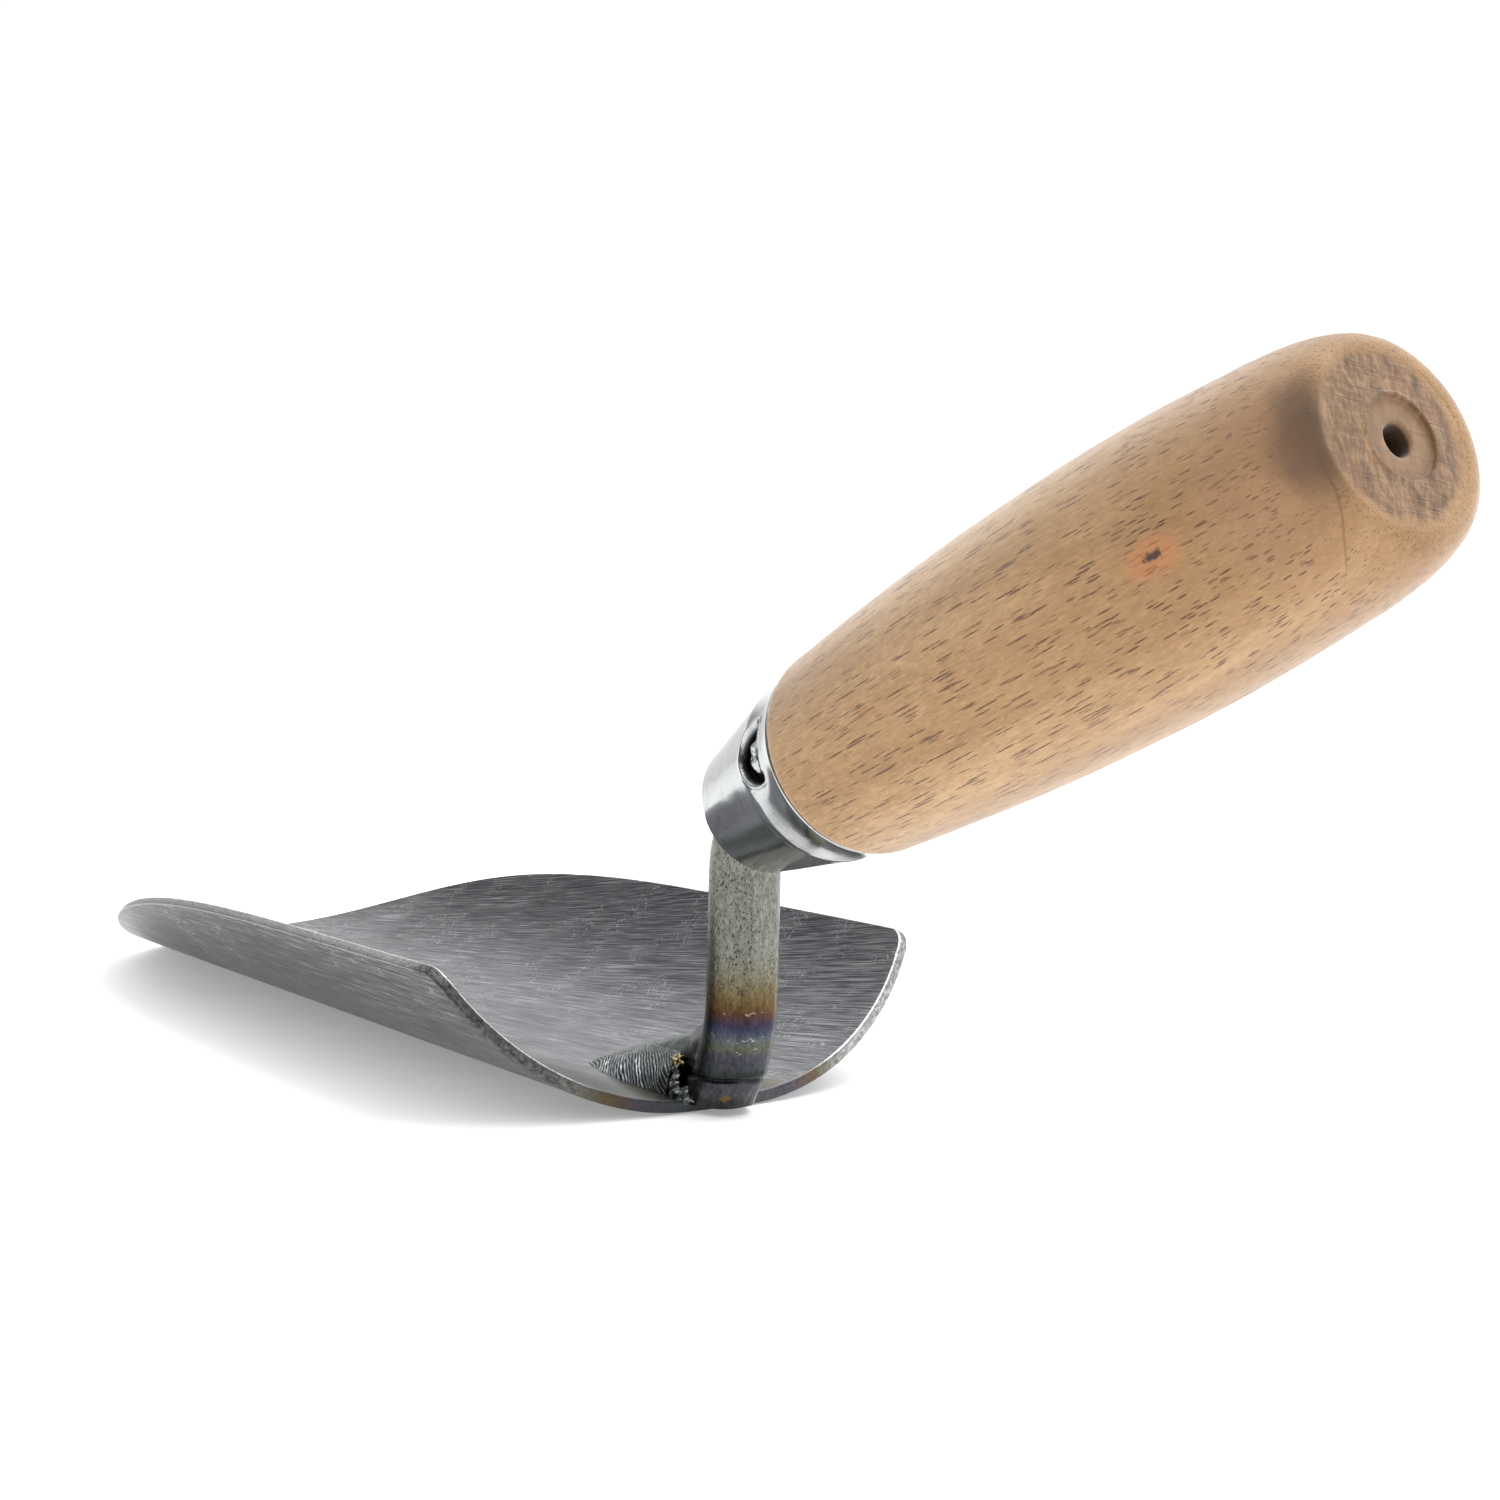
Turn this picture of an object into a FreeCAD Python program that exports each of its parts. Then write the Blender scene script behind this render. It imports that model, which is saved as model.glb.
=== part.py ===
import FreeCAD, Part
import math
import os

# Hand trowel with a rolled (trough shaped) steel blade, a gooseneck shank, a ferrule and a
# turned wooden handle.  Millimetres.
# Working frame: X = 0 at the middle of the blade's heel edge, tip towards -X, handle towards +X,
# Z = 0 on the inner face of the blade's flat bottom strip, Y across the blade.

V = FreeCAD.Vector

# ---- blade: sheet rolled lengthwise -------------------------------------------------------
SHEET_T = 1.8            # sheet thickness
BLADE_LEN = 175.0        # heel to tip along the middle
BLADE_HALF_W = 46.6      # half of the flat (developed) width at the heel
FLAT_HALF_W = 5.0        # half width of the flat strip along the bottom
ROLL_R = 39.8            # inner radius of the rolled sides
TAPER = 0.047            # share of the width lost from heel to tip
TIP_POWER = 4.9          # how late the sides turn in towards the tip
TIP_ROUND = 1.6          # how blunt the tip is
HEEL_SWEEP = 9.4         # how far the heel corners lie ahead of the heel's middle
HEEL_CORNER_R = 2.5      # rounding of the heel corners
SIDE_STATIONS = 22       # outline points along each side, from heel corner to tip
HEEL_STATIONS = 6        # outline points from the middle of the heel to each corner
WRAP_SPARE = 6.0         # how far the untrimmed trough runs past the blank's widest point
END_SPARE = 10.0         # how far it runs past heel and tip
TRIM_SPARE = 1.5         # how far the trimming walls reach off both faces of the sheet

# ---- shank: one round rod, foot + elbow + neck + gooseneck + tang ---------------------------
ROD_R = 5.0
NECK_X = 5.0             # the straight neck stands just behind the heel edge
ELBOW_BOTTOM_Z = -0.8    # the elbow hooks over the heel edge and is dressed off at this level
ELBOW_TOP_Z = 15.2       # where the straight neck starts to lean forwards
ELBOW_R = 24.0           # centreline radius of that lean
LEAN_END = 68.0          # degrees of lean at the buried lower end of the rod
GOOSE_R = 12.0           # centreline radius of the bend into the handle
FOOT_LEN = 27.0          # forged foot lying on the blade
FOOT_ROOT_X = -3.0
FOOT_ROOT = (3.8, 4.9)   # half width and half height of the foot's oval at its root
FOOT_ROOT_Z = 4.5
FOOT_TIP = (3.3, 1.6)    # the same at its tip, sunk so that only a low oval cap is left
FOOT_TIP_Z = -0.3
TANG_START = 4.0         # the tang's taper starts this far inside the ferrule's rim
TANG_END_R = 3.0
OVAL_HALF_STEPS = 12     # points on half an oval of the foot
DRESS_BOX = (80.0, 40.0, 40.0)   # block that dresses the elbow's underside flat
DRESS_X = -60.0          # its end towards the tip
TANG_IN_WOOD = 58.0      # tang length past the ferrule's rim

# ---- handle and ferrule, both turned on one raised axis --------------------------------------
AXIS_X = 29.3            # middle of the ferrule's rim
AXIS_Z = 50.9
AXIS_TILT = 23.6         # degrees above the blade
FERRULE_LEN = 24.0
FERRULE_RIM_R = 13.8
FERRULE_KNEE_R = 12.85   # cone ends here and the steeper-sided rim begins
FERRULE_KNEE = 6.5       # distance of that knee from the rim
FERRULE_NOSE_R = 9.2
FERRULE_WALL = 1.0
FERRULE_NOSE_ROUND = 1.2
FERRULE_HOLE_R = 7.0      # wide enough for the rod, which is still bending as it enters
STAKE_MID = 4.3          # crescent shaped stake: chord distance from the rim
STAKE_HALF_LEN = 4.5
STAKE_BULGE = 4.4
STAKE_WIDTH = 2.0
STAKE_ROLL = 79.0        # degrees from the top towards -Y
STAKE_BASE_R = 9.0       # the stake's cutter starts this far off the axis
STAKE_REACH = 8.0        # and is this long

WOOD_LEN = 98.0          # ferrule rim to butt
WOOD_NOSE_R = 13.0       # shoulder beside the ferrule
WOOD_NOSE_ROUND = (0.45, 13.85)
WOOD_SHOULDER = (1.5, 14.25)
WOOD_BELLY = (54.0, 16.42)
WOOD_WAIST = (81.6, 15.2)
WOOD_BACK = (89.0, 14.5)
WOOD_CROWN = (93.4, 13.6)
WOOD_BUTT_ROUND = (95.94, 12.46)
WOOD_FACE_R = 10.6
RECESS_R = 4.75          # shallow recess in the butt face
RECESS_DEPTH = 0.5
BUTT_HOLE_R = 1.8
BUTT_HOLE_DEPTH = 8.0
BORE_SPARE = 1.0         # how far the cutters for recess and hole stand out of the face

# ---- welds --------------------------------------------------------------------------------
BEAD_TOE = 6.6           # reach of the foot bead's toe from the middle plane at the heel end
BEAD_TIP_TOE = 4.7
BEAD_TOP = (2.3, 7.0)    # upper edge of the bead on the foot: off the middle plane, height
BEAD_TIP_TOP = (2.0, 1.1)
BEAD_START_X = -5.2
BEAD_END_X = -28.5
BEAD_SWELL = 0.5         # crown of the bead's face
BEAD_TOE_LIFT = 0.15     # height of the bead's blunt toe above the sheet
TACK_R = 3.1
TACK_X = -1.6
TACK_Y = 5.6
TACK_Z = 0.5
SINK = 1.0               # how deep weld blanks reach into the sheet before they are trimmed
TACK_TRIM = 20.0         # side of the block that trims the heel tack underneath


def arc3(a, b, c):
    return Part.Arc(a, b, c).toShape()


def line(a, b):
    return Part.LineSegment(a, b).toShape()


def largest(shape):
    return max(shape.Solids, key=lambda s: s.Volume)


def smooth_edge(points):
    curve = Part.BSplineCurve()
    curve.interpolate(points)
    return curve.toShape()


# ---- blade ---------------------------------------------------------------------------------
def on_sheet(x, u, offset):
    """Point at flat coordinate u, moved outwards from the inner face by offset."""
    side = math.copysign(1.0, u)
    beyond = max(abs(u) - FLAT_HALF_W, 0.0)
    a = beyond / ROLL_R
    r = ROLL_R + offset
    y = min(abs(u), FLAT_HALF_W) + r * math.sin(a)
    return V(x, side * y, ROLL_R - r * math.cos(a))


def heel_x(u):
    return -HEEL_SWEEP * (u / BLADE_HALF_W) ** 2


def half_width(q):
    return BLADE_HALF_W * (1.0 - q ** TIP_POWER) ** (1.0 / TIP_ROUND) * (1.0 - TAPER * q)


def side_point(q, side):
    """Outline point of the flat blank; q runs from 0 at the heel to 1 at the tip."""
    u = half_width(q)
    x = -q * BLADE_LEN + (1.0 - q) * heel_x(u)
    return x, side * u


def blank_outline():
    """Flat blank as lists of (x, u) points, one list per edge, in order round the blade."""
    r = HEEL_CORNER_R
    q_corner = r / BLADE_LEN
    stations = [1.0 - (1.0 - q_corner) * (i / SIDE_STATIONS) ** TIP_ROUND
                for i in range(SIDE_STATIONS, 0, -1)]
    far = [side_point(q, 1.0) for q in stations]
    near = [side_point(q, -1.0) for q in reversed(stations)]
    tip = [(-BLADE_LEN, 0.0)]
    u_in = BLADE_HALF_W - r
    heel_u = [u_in * k / HEEL_STATIONS for k in range(-HEEL_STATIONS, HEEL_STATIONS + 1)]
    heel = [(heel_x(u), u) for u in heel_u]
    corners = []
    for side in (1.0, -1.0):
        x0, u0 = heel_x(u_in), side * u_in
        x1, u1 = side_point(q_corner, side)
        cx, cu = x0 - r, u0
        mid = []
        for step in (1, 2, 3):
            a = math.radians(90.0 * step / 4.0)
            mid.append((cx + r * math.cos(a), cu + side * r * math.sin(a)))
        corners.append([(x0, u0)] + mid + [(x1, u1)])
    corners[1].reverse()
    return [heel, corners[0], far + tip + near, corners[1]]


def blade_section(x):
    """Closed cross-section of the rolled sheet in the plane X = x."""
    a = (BLADE_HALF_W + WRAP_SPARE - FLAT_HALF_W) / ROLL_R
    edges = []
    for r in (ROLL_R, ROLL_R + SHEET_T):
        z0 = ROLL_R - r
        for side in (-1.0, 1.0):
            ang = [a, a / 2.0, 0.0]
            pts = [V(x, side * (FLAT_HALF_W + r * math.sin(t)), ROLL_R - r * math.cos(t))
                   for t in ang]
            edges.append(arc3(*pts))
        edges.append(line(V(x, -FLAT_HALF_W, z0), V(x, FLAT_HALF_W, z0)))
    for side in (-1.0, 1.0):
        ends = [V(x, side * (FLAT_HALF_W + r * math.sin(a)), ROLL_R - r * math.cos(a))
                for r in (ROLL_R, ROLL_R + SHEET_T)]
        edges.append(line(*ends))
    return Part.Face(Part.Wire(Part.__sortEdges__(edges)))


def make_blade():
    trough = blade_section(END_SPARE).extrude(V(-(BLADE_LEN + 2.0 * END_SPARE), 0, 0))
    walls = []
    for points in blank_outline():
        inner = smooth_edge([on_sheet(x, u, -TRIM_SPARE) for x, u in points])
        outer = smooth_edge([on_sheet(x, u, SHEET_T + TRIM_SPARE) for x, u in points])
        walls.append(Part.makeRuledSurface(inner, outer))
    pieces, _ = trough.generalFuse(walls)
    middle = V(-BLADE_LEN / 2.0, 0, -SHEET_T / 2.0)
    return [s for s in pieces.Solids if s.isInside(middle, 0.01, True)][0]


# ---- handle axis ---------------------------------------------------------------------------
TILT = math.radians(AXIS_TILT)
ALONG = V(math.cos(TILT), 0, math.sin(TILT))
ACROSS = V(-math.sin(TILT), 0, math.cos(TILT))
RIM = V(AXIS_X, 0, AXIS_Z)


def on_axis(s, r=0.0):
    """Point s past the ferrule's rim along the handle and r above its axis."""
    return RIM + ALONG * s + ACROSS * r


def turned(edges):
    """Solid of revolution about the handle's axis from a closed half profile."""
    face = Part.Face(Part.Wire(edges))
    return face.revolve(RIM, ALONG, 360)


def ferrule_radius(s):
    """Outer radius of the ferrule at s (negative: towards the blade)."""
    d = -s
    if d < FERRULE_KNEE:
        return FERRULE_RIM_R + (FERRULE_KNEE_R - FERRULE_RIM_R) * d / FERRULE_KNEE
    share = (d - FERRULE_KNEE) / (FERRULE_LEN - FERRULE_KNEE)
    return FERRULE_KNEE_R + (FERRULE_NOSE_R - FERRULE_KNEE_R) * share


# ---- shank ---------------------------------------------------------------------------------
def oval(x, z, half_wide, half_high):
    """Closed oval in the plane X = x, drawn through evenly spaced points."""
    angles = [math.pi * k / OVAL_HALF_STEPS for k in range(2 * OVAL_HALF_STEPS)]
    points = [V(x, half_wide * math.cos(a), z + half_high * math.sin(a)) for a in angles]
    curve = Part.BSplineCurve()
    curve.interpolate(points, PeriodicFlag=True)
    return Part.Wire(curve.toShape())


def make_shank(blade):
    lean = V(NECK_X - ELBOW_R, 0, ELBOW_TOP_Z)
    low = math.radians(LEAN_END)

    def on_lean(a):
        return lean + V(ELBOW_R * math.cos(a), 0, -ELBOW_R * math.sin(a))

    # the neck's vertical line meets the handle axis here; the bend is tangent to both
    meet_s = (NECK_X - AXIS_X) / math.cos(TILT)
    meet = on_axis(meet_s)
    turn = math.pi / 2.0 - TILT
    reach = GOOSE_R * math.tan(turn / 2.0)
    bend_a = meet - V(0, 0, reach)
    bend_b = meet + ALONG * reach
    bend_c = bend_a + V(GOOSE_R, 0, 0)
    half = math.pi - turn / 2.0
    bend_m = bend_c + V(GOOSE_R * math.cos(half), 0, GOOSE_R * math.sin(half))
    tang_start = on_axis(-TANG_START)
    path = Part.Wire([
        arc3(on_lean(low), on_lean(low / 2.0), on_lean(0.0)),
        line(on_lean(0.0), bend_a),
        arc3(bend_a, bend_m, bend_b),
        line(bend_b, tang_start),
    ])
    start = on_lean(low)
    heading = V(math.sin(low), 0, math.cos(low))
    ring = Part.Wire(Part.makeCircle(ROD_R, start, heading))
    rod = path.makePipeShell([ring], True, False)
    tang = Part.makeCone(ROD_R, TANG_END_R, TANG_IN_WOOD + TANG_START, tang_start, ALONG)
    root = oval(FOOT_ROOT_X, FOOT_ROOT_Z, *FOOT_ROOT)
    toe = oval(-FOOT_LEN, FOOT_TIP_Z, *FOOT_TIP)
    foot = Part.makeLoft([toe, root], True, True)
    body = rod.fuse([tang, foot])
    long, wide, high = DRESS_BOX
    under = Part.makeBox(long, wide, high, V(DRESS_X, -wide / 2.0, ELBOW_BOTTOM_Z - high))
    return largest(body.cut([under, blade]).removeSplitter())


# ---- ferrule -------------------------------------------------------------------------------
def crescent_cutter():
    """Radial cutter for the crescent slot, pointing at the handle's axis."""
    roll = math.radians(STAKE_ROLL)
    outward = ACROSS * math.cos(roll) + V(0, -1, 0) * math.sin(roll)
    around = ALONG.cross(outward)
    base = on_axis(-STAKE_MID) + outward * STAKE_BASE_R

    def at(s, w):
        return base - ALONG * s + around * w

    inner_bulge = STAKE_BULGE - STAKE_WIDTH
    outer = arc3(at(0, -STAKE_HALF_LEN), at(STAKE_BULGE, 0), at(0, STAKE_HALF_LEN))
    inner = arc3(at(0, STAKE_HALF_LEN), at(inner_bulge, 0), at(0, -STAKE_HALF_LEN))
    face = Part.Face(Part.Wire([outer, inner]))
    return face.extrude(outward * STAKE_REACH)


def make_ferrule():
    nose, knee = -FERRULE_LEN, -FERRULE_KNEE
    w = FERRULE_WALL
    b = FERRULE_NOSE_ROUND
    k = b * (1.0 - math.sqrt(0.5))
    shell = turned([
        line(on_axis(nose, FERRULE_HOLE_R), on_axis(nose, FERRULE_NOSE_R - b)),
        arc3(on_axis(nose, FERRULE_NOSE_R - b), on_axis(nose + k, FERRULE_NOSE_R - k),
             on_axis(nose + b, ferrule_radius(nose + b))),
        line(on_axis(nose + b, ferrule_radius(nose + b)), on_axis(knee, FERRULE_KNEE_R)),
        line(on_axis(knee, FERRULE_KNEE_R), on_axis(0, FERRULE_RIM_R)),
        line(on_axis(0, FERRULE_RIM_R), on_axis(0, FERRULE_RIM_R - w)),
        line(on_axis(0, FERRULE_RIM_R - w), on_axis(knee, FERRULE_KNEE_R - w)),
        line(on_axis(knee, FERRULE_KNEE_R - w), on_axis(nose + w, FERRULE_NOSE_R - w)),
        line(on_axis(nose + w, FERRULE_NOSE_R - w), on_axis(nose + w, FERRULE_HOLE_R)),
        line(on_axis(nose + w, FERRULE_HOLE_R), on_axis(nose, FERRULE_HOLE_R)),
    ])
    return largest(shell.cut(crescent_cutter()))


# ---- handle --------------------------------------------------------------------------------
def make_handle(shank):
    w = FERRULE_WALL
    nose, knee = -FERRULE_LEN + w, -FERRULE_KNEE
    wall = [on_axis(*WOOD_SHOULDER), on_axis(*WOOD_BELLY), on_axis(*WOOD_WAIST)]

    def on_barrel(start, end):
        """Arc from start to end that is level with the axis at its fatter end."""
        (s0, r0), (s1, r1) = start, end
        rise = abs(r1 - r0)
        run = abs(s1 - s0)
        big = (run * run + rise * rise) / (2.0 * rise)
        mid = run / 2.0
        sag = big - math.sqrt(big * big - mid * mid)
        return on_axis((s0 + s1) / 2.0, max(r0, r1) - sag)

    body = turned([
        line(on_axis(nose, 0), on_axis(nose, FERRULE_NOSE_R - w)),
        line(on_axis(nose, FERRULE_NOSE_R - w), on_axis(knee, FERRULE_KNEE_R - w)),
        line(on_axis(knee, FERRULE_KNEE_R - w), on_axis(0, FERRULE_RIM_R - w)),
        line(on_axis(0, FERRULE_RIM_R - w), on_axis(0, WOOD_NOSE_R)),
        arc3(on_axis(0, WOOD_NOSE_R), on_axis(*WOOD_NOSE_ROUND), wall[0]),
        arc3(wall[0], on_barrel(WOOD_SHOULDER, WOOD_BELLY), wall[1]),
        arc3(wall[1], on_barrel(WOOD_BELLY, WOOD_WAIST), wall[2]),
        arc3(wall[2], on_axis(*WOOD_BACK), on_axis(*WOOD_CROWN)),
        arc3(on_axis(*WOOD_CROWN), on_axis(*WOOD_BUTT_ROUND), on_axis(WOOD_LEN, WOOD_FACE_R)),
        line(on_axis(WOOD_LEN, WOOD_FACE_R), on_axis(WOOD_LEN, 0)),
        line(on_axis(WOOD_LEN, 0), on_axis(nose, 0)),
    ])
    recess = Part.makeCylinder(RECESS_R, RECESS_DEPTH + BORE_SPARE,
                               on_axis(WOOD_LEN - RECESS_DEPTH), ALONG)
    hole = Part.makeCylinder(BUTT_HOLE_R, BUTT_HOLE_DEPTH + BORE_SPARE,
                             on_axis(WOOD_LEN - BUTT_HOLE_DEPTH), ALONG)
    return largest(body.cut([recess, hole, shank]))


# ---- welds ---------------------------------------------------------------------------------
def bead_section(x, toe, ridge_y, top):
    """Closed fillet section between the middle plane, the sheet and the bead's face (-Y)."""
    low = V(x, 0, -SINK)
    far = V(x, -toe, -SINK)
    z_toe = on_sheet(x, toe, 0.0).z + BEAD_TOE_LIFT
    edge = V(x, -toe, z_toe)
    ridge = V(x, -ridge_y, top)
    peak = V(x, 0, top)
    slope = V(0, z_toe - top, toe - ridge_y)
    slope.normalize()
    middle = (edge + ridge) * 0.5 + slope * BEAD_SWELL
    return Part.Wire([line(low, far), line(far, edge), arc3(edge, middle, ridge),
                      line(ridge, peak), line(peak, low)])


def make_foot_bead(blade, shank):
    tail = bead_section(BEAD_END_X, BEAD_TIP_TOE, *BEAD_TIP_TOP)
    head = bead_section(BEAD_START_X, BEAD_TOE, *BEAD_TOP)
    blank = Part.makeLoft([tail, head], True, True)
    return largest(blank.cut([blade, shank]))


def make_heel_tack(others):
    ball = Part.makeSphere(TACK_R, V(TACK_X, -TACK_Y, TACK_Z))
    corner = V(TACK_X - TACK_TRIM / 2.0, -TACK_Y - TACK_TRIM / 2.0, -SINK - TACK_TRIM)
    under = Part.makeBox(TACK_TRIM, TACK_TRIM, TACK_TRIM, corner)
    return largest(ball.cut([under] + others))


def other_side(shape):
    return shape.mirror(V(0, 0, 0), V(0, 1, 0))


# ---- assembly ------------------------------------------------------------------------------
blade = make_blade()
shank = make_shank(blade)
foot_bead = make_foot_bead(blade, shank)
heel_tack = make_heel_tack([blade, shank, foot_bead])
parts = {
    "blade": blade,
    "shank": shank,
    "foot_weld_left": foot_bead,
    "foot_weld_right": other_side(foot_bead),
    "heel_weld_left": heel_tack,
    "heel_weld_right": other_side(heel_tack),
    "ferrule": make_ferrule(),
    "handle": make_handle(shank),
}

# row frame: origin at the middle of the box's footprint, on the surface the blade rests on
box = Part.makeCompound(list(parts.values())).optimalBoundingBox(False)
shift = V(-(box.XMin + box.XMax) / 2.0, -(box.YMin + box.YMax) / 2.0, -box.ZMin)
os.makedirs("parts", exist_ok=True)
for name, shape in parts.items():
    shape.translate(shift)
    shape.exportStep("parts/" + name + ".step")
    print(name, "valid", shape.isValid(), "solids", len(shape.Solids),
          "volume", round(shape.Volume, 1))
print("shift", [round(c, 4) for c in shift])
print("size", round(box.XLength, 2), round(box.YLength, 2), round(box.ZLength, 2))
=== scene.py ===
import math
import bpy
import numpy as np
from mathutils import Matrix, Vector, noise


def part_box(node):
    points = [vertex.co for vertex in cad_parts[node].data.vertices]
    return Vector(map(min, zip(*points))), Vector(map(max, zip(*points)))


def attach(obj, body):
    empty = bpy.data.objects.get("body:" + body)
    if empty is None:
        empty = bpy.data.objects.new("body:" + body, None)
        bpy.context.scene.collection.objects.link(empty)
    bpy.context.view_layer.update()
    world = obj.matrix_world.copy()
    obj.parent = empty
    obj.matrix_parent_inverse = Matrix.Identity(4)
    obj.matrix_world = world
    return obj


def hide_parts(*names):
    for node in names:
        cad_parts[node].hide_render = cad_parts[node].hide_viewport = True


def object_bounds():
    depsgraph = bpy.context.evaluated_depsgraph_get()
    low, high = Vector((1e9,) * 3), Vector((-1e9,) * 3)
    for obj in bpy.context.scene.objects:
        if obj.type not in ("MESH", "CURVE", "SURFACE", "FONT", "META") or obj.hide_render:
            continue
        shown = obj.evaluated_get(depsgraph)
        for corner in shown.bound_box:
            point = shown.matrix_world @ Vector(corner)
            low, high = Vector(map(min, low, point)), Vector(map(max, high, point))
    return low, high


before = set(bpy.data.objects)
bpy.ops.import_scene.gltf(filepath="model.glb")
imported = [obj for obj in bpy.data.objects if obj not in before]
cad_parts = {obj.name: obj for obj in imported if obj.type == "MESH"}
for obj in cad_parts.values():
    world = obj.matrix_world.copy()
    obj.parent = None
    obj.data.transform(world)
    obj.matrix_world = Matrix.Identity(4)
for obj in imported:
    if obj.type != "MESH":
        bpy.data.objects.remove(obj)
cad_low, cad_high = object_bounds()

# ---------- Working frame: millimetres, X = 0 at the middle of the heel edge, Z = 0 on the inner
# face of the blade's flat strip
MM = 0.001
SHEET_T = 1.8
ORIGIN = np.array([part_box("blade")[1].x, 0.0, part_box("blade")[0].z + SHEET_T * MM])

# blade: flat (developed) size, the rolled sides, and the outline's taper, tip, heel and corners
BLADE_LEN, HALF_W, FLAT_W, ROLL_R = 174.95, 46.6, 5.0, 39.8
TAPER, TIP_POWER, TIP_ROUND, SWEEP, CORNER_R = 0.047, 4.9, 1.6, 9.4, 2.5
# shank: a round rod that hooks over the heel edge, stands up and bends into the handle
ROD_R, NECK_X, ELBOW_Z, ELBOW_TOP_Z, ELBOW_R, GOOSE_R = 5.0, 5.0, -0.8, 15.2, 24.0, 12.0
# the handle's raised axis: the middle of the ferrule's rim, and three directions at right angles
TILT = math.radians(23.6)
RIM = np.array([29.3, 0.0, 50.9])
ALONG = np.array([math.cos(TILT), 0.0, math.sin(TILT)])
ACROSS = np.array([-math.sin(TILT), 0.0, math.cos(TILT)])
NEAR = np.array([0.0, -1.0, 0.0])
# ferrule and wood, measured along that axis from the rim
FERRULE_LEN, FERRULE_RIM_R, FERRULE_KNEE_R, FERRULE_KNEE, FERRULE_NOSE_R = 24.0, 13.8, 12.85, 6.5, 9.2
STAKE_S, STAKE_PHI = -3.7, math.radians(81.5)
WOOD_LEN, BELLY_S, BELLY_R, RECESS_R = 98.0, 54.0, 16.42, 4.85
FULL_TURN = 2.0 * math.pi
# UV units for each mm, and the floor in metres
UV_SCALE = 0.01
FLOOR_SIZE, FLOOR_GAP = 6.0, 0.0002


def row(p):
    """Working frame in mm to the row frame in metres."""
    return np.asarray(p, float) * MM + ORIGIN


def smooth(x, a, b):
    """0 where x is at a, 1 where it is at b, with soft ends."""
    t = np.clip((np.asarray(x, float) - a) / (b - a), 0.0, 1.0)
    return t * t * (3.0 - 2.0 * t)


def wobble(points, size, seed):
    """Smooth noise in -1..1 at each point (mm), with features of about size mm."""
    off = Vector((seed * 17.3, seed * 5.1, seed * 9.7))
    flat = np.asarray(points, float).reshape(-1, 3) / size
    out = [noise.noise(Vector(p) + off) for p in flat]
    return np.array(out).reshape(np.asarray(points).shape[:-1])


def add_attributes(me, loc, extra):
    """Store the shading coordinates and any named weights on the points of a mesh."""
    place = me.attributes.new("loc", "FLOAT_VECTOR", "POINT")
    place.data.foreach_set("vector", np.asarray(loc, np.float32).ravel())
    for key, values in extra.items():
        weight = me.attributes.new(key, "FLOAT", "POINT")
        weight.data.foreach_set("value", np.asarray(values, np.float32).ravel())


def mesh_from(name, verts, faces, loc=None, extra=()):
    """Mesh object from points in the working frame; loc gives it shading coordinates and UVs."""
    me = bpy.data.meshes.new(name)
    me.from_pydata(row(verts).tolist(), [], faces)
    me.validate()
    if loc is not None:
        add_attributes(me, loc, dict(extra))
        corner = np.zeros(len(me.loops), np.int32)
        me.loops.foreach_get("vertex_index", corner)
        uv = (np.asarray(loc)[corner, :2] * UV_SCALE).astype(np.float32)
        me.uv_layers.new(name="UVMap").data.foreach_set("uv", uv.ravel())
    me.polygons.foreach_set("use_smooth", [True] * len(me.polygons))
    me.update()
    ob = bpy.data.objects.new(name, me)
    bpy.context.scene.collection.objects.link(ob)
    return ob


def grid_faces(n, m, base=0, wrap=False, flip=False):
    """Quads of a grid of n rows of m points; wrap joins the last column to the first."""
    i, j = np.meshgrid(np.arange(n - 1), np.arange(m if wrap else m - 1), indexing="ij")
    k = (j + 1) % m
    quad = np.stack([i * m + j, i * m + k, (i + 1) * m + k, (i + 1) * m + j], -1).reshape(-1, 4)
    if flip:
        quad = quad[:, ::-1]
    return (quad + base).tolist()


def around(count):
    return np.linspace(0.0, FULL_TURN, count, endpoint=False)


def points_and_normals(ob):
    """Points of a mesh object in the working frame, and its unit normals."""
    co = np.zeros(len(ob.data.vertices) * 3)
    n = np.zeros_like(co)
    ob.data.vertices.foreach_get("co", co)
    ob.data.vertices.foreach_get("normal", n)
    return (co.reshape(-1, 3) - ORIGIN) / MM, n.reshape(-1, 3)


def move_points(ob, co, extra=()):
    """Put the points of a mesh object at co, and store them as its shading coordinates."""
    ob.data.vertices.foreach_set("co", row(co).ravel())
    add_attributes(ob.data, co, dict(extra))
    ob.data.polygons.foreach_set("use_smooth", [True] * len(ob.data.polygons))
    ob.data.update()
    return ob


# ---------- Blade: fine mesh of the rolled sheet with softened, slightly nicked edges
def heel_x(u):
    """The heel edge sweeps towards the tip on both sides."""
    return -SWEEP * (u / HALF_W) ** 2


def blank(sigma, w, inset):
    """Flat coordinates (x, u) of the blank, pulled in by inset all round."""
    r = CORNER_R
    u0 = w * HALF_W
    beyond = np.maximum(np.abs(u0) - (HALF_W - r), 0.0)
    q0 = (r - np.sqrt(np.maximum(r * r - beyond * beyond, 0.0))) / BLADE_LEN
    q = q0 + (1.0 - q0) * sigma
    half = HALF_W * (1.0 - q ** TIP_POWER) ** (1.0 / TIP_ROUND) * (1.0 - TAPER * q)
    u = w * np.maximum(half - inset, 0.02)
    x = -inset - q * (BLADE_LEN - 2.0 * inset) + (1.0 - q) * heel_x(u)
    return x, u


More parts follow.
